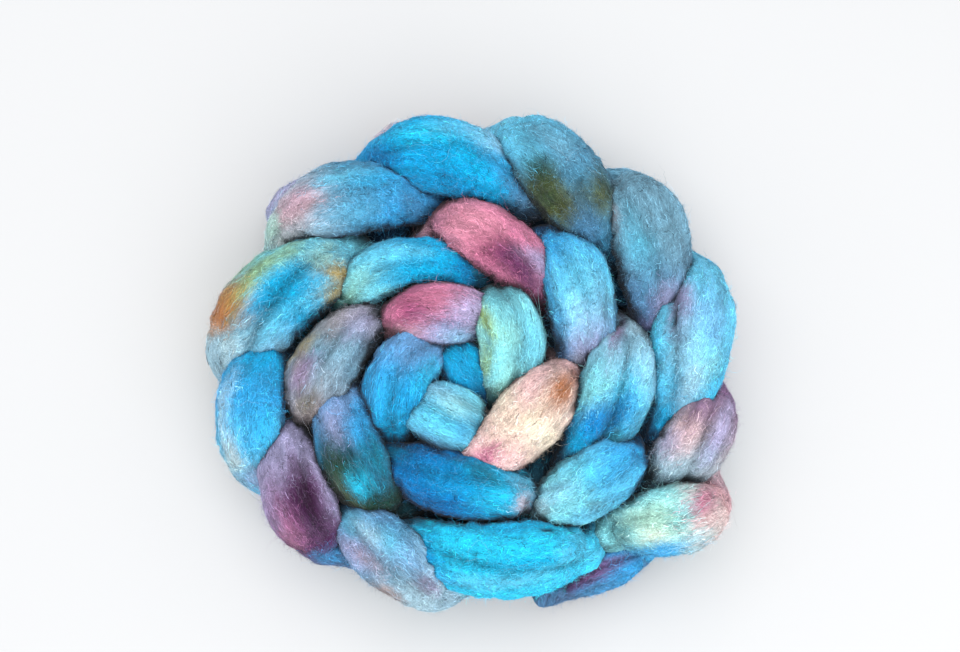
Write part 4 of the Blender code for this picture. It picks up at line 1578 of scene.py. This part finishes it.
class WOOL_OT_set_stage(bpy.types.Operator):
    """Lays the pale floor and sets the soft lights and the camera"""

    bl_idname = "wool.set_stage"
    bl_label = "Set the stage"

    def execute(self, context):
        scene = context.scene
        settings = scene.wool_stage
        half = FLOOR_SIZE / 2.0
        mesh = bpy.data.meshes.new("floor")
        plan = [(-half, -half), (half, -half), (half, half), (-half, half)]
        mesh.from_pydata([(x, y, -FLOOR_DROP) for x, y in plan], [], [(0, 1, 2, 3)])
        mesh.materials.append(studio_floor(settings))
        floor = bpy.data.objects.new("floor", mesh)
        scene.collection.objects.link(floor)

        soft_light("key_light", settings.key_power, KEY_SIZE, KEY_PLACE)
        soft_light("fill_light", settings.fill_power, FILL_SIZE, FILL_PLACE)

        world = bpy.data.worlds.new("pale_room")
        world.use_nodes = True
        room = world.node_tree.nodes["Background"]
        room.inputs["Color"].default_value = ROOM_COLOUR
        room.inputs["Strength"].default_value = settings.sky_strength
        scene.world = world
        scene.view_settings.view_transform = "Standard"

        rise = settings.camera_elevation
        back = Vector((0.0, -math.cos(rise), math.sin(rise)))
        eye = bpy.data.objects.new("camera", bpy.data.cameras.new("camera"))
        eye.data.lens = settings.lens
        eye.location = Vector(CAMERA_TARGET) + back * settings.camera_distance
        aim = Vector(CAMERA_AIM) - eye.location
        eye.rotation_euler = aim.to_track_quat("-Z", "Y").to_euler()
        scene.collection.objects.link(eye)
        scene.camera = eye
        return {"FINISHED"}


class WOOL_PT_sidebar(bpy.types.Panel):
    """Lists the steps in the order they are done"""

    bl_idname = "WOOL_PT_sidebar"
    bl_label = "Braid of wool top"
    bl_space_type = "VIEW_3D"
    bl_region_type = "UI"
    bl_category = "Wool"

    def draw(self, context):
        scene = context.scene
        for operator in OPERATORS:
            self.layout.operator(operator.bl_idname)
        for settings in (scene.wool, scene.wool_fibres, scene.wool_dyes, scene.wool_stage):
            box = self.layout.box()
            for name in settings.__annotations__:
                box.prop(settings, name)


OPERATORS = (WOOL_OT_wind_strand, WOOL_OT_comb_fibres, WOOL_OT_raise_fuzz, WOOL_OT_set_stage)
SETTINGS = {
    "wool": WoolSettings,
    "wool_fibres": FibreSettings,
    "wool_dyes": DyeSettings,
    "wool_stage": StageSettings,
}


def register():
    """Makes the settings, the operators and the panel known to Blender."""
    for group in (*SETTINGS.values(), *OPERATORS, WOOL_PT_sidebar):
        bpy.utils.register_class(group)
    for name, group in SETTINGS.items():
        setattr(bpy.types.Scene, name, bpy.props.PointerProperty(type=group))


def unregister():
    """Takes them out again, in the reverse order."""
    for name in SETTINGS:
        delattr(bpy.types.Scene, name)
    for group in (WOOL_PT_sidebar, *reversed(OPERATORS), *SETTINGS.values()):
        bpy.utils.unregister_class(group)


def main():
    """Makes the whole scene."""
    register()
    bpy.ops.wool.wind_strand()
    bpy.ops.wool.comb_fibres()
    bpy.ops.wool.raise_fuzz()
    bpy.ops.wool.set_stage()


if __name__ == "__main__":
    main()
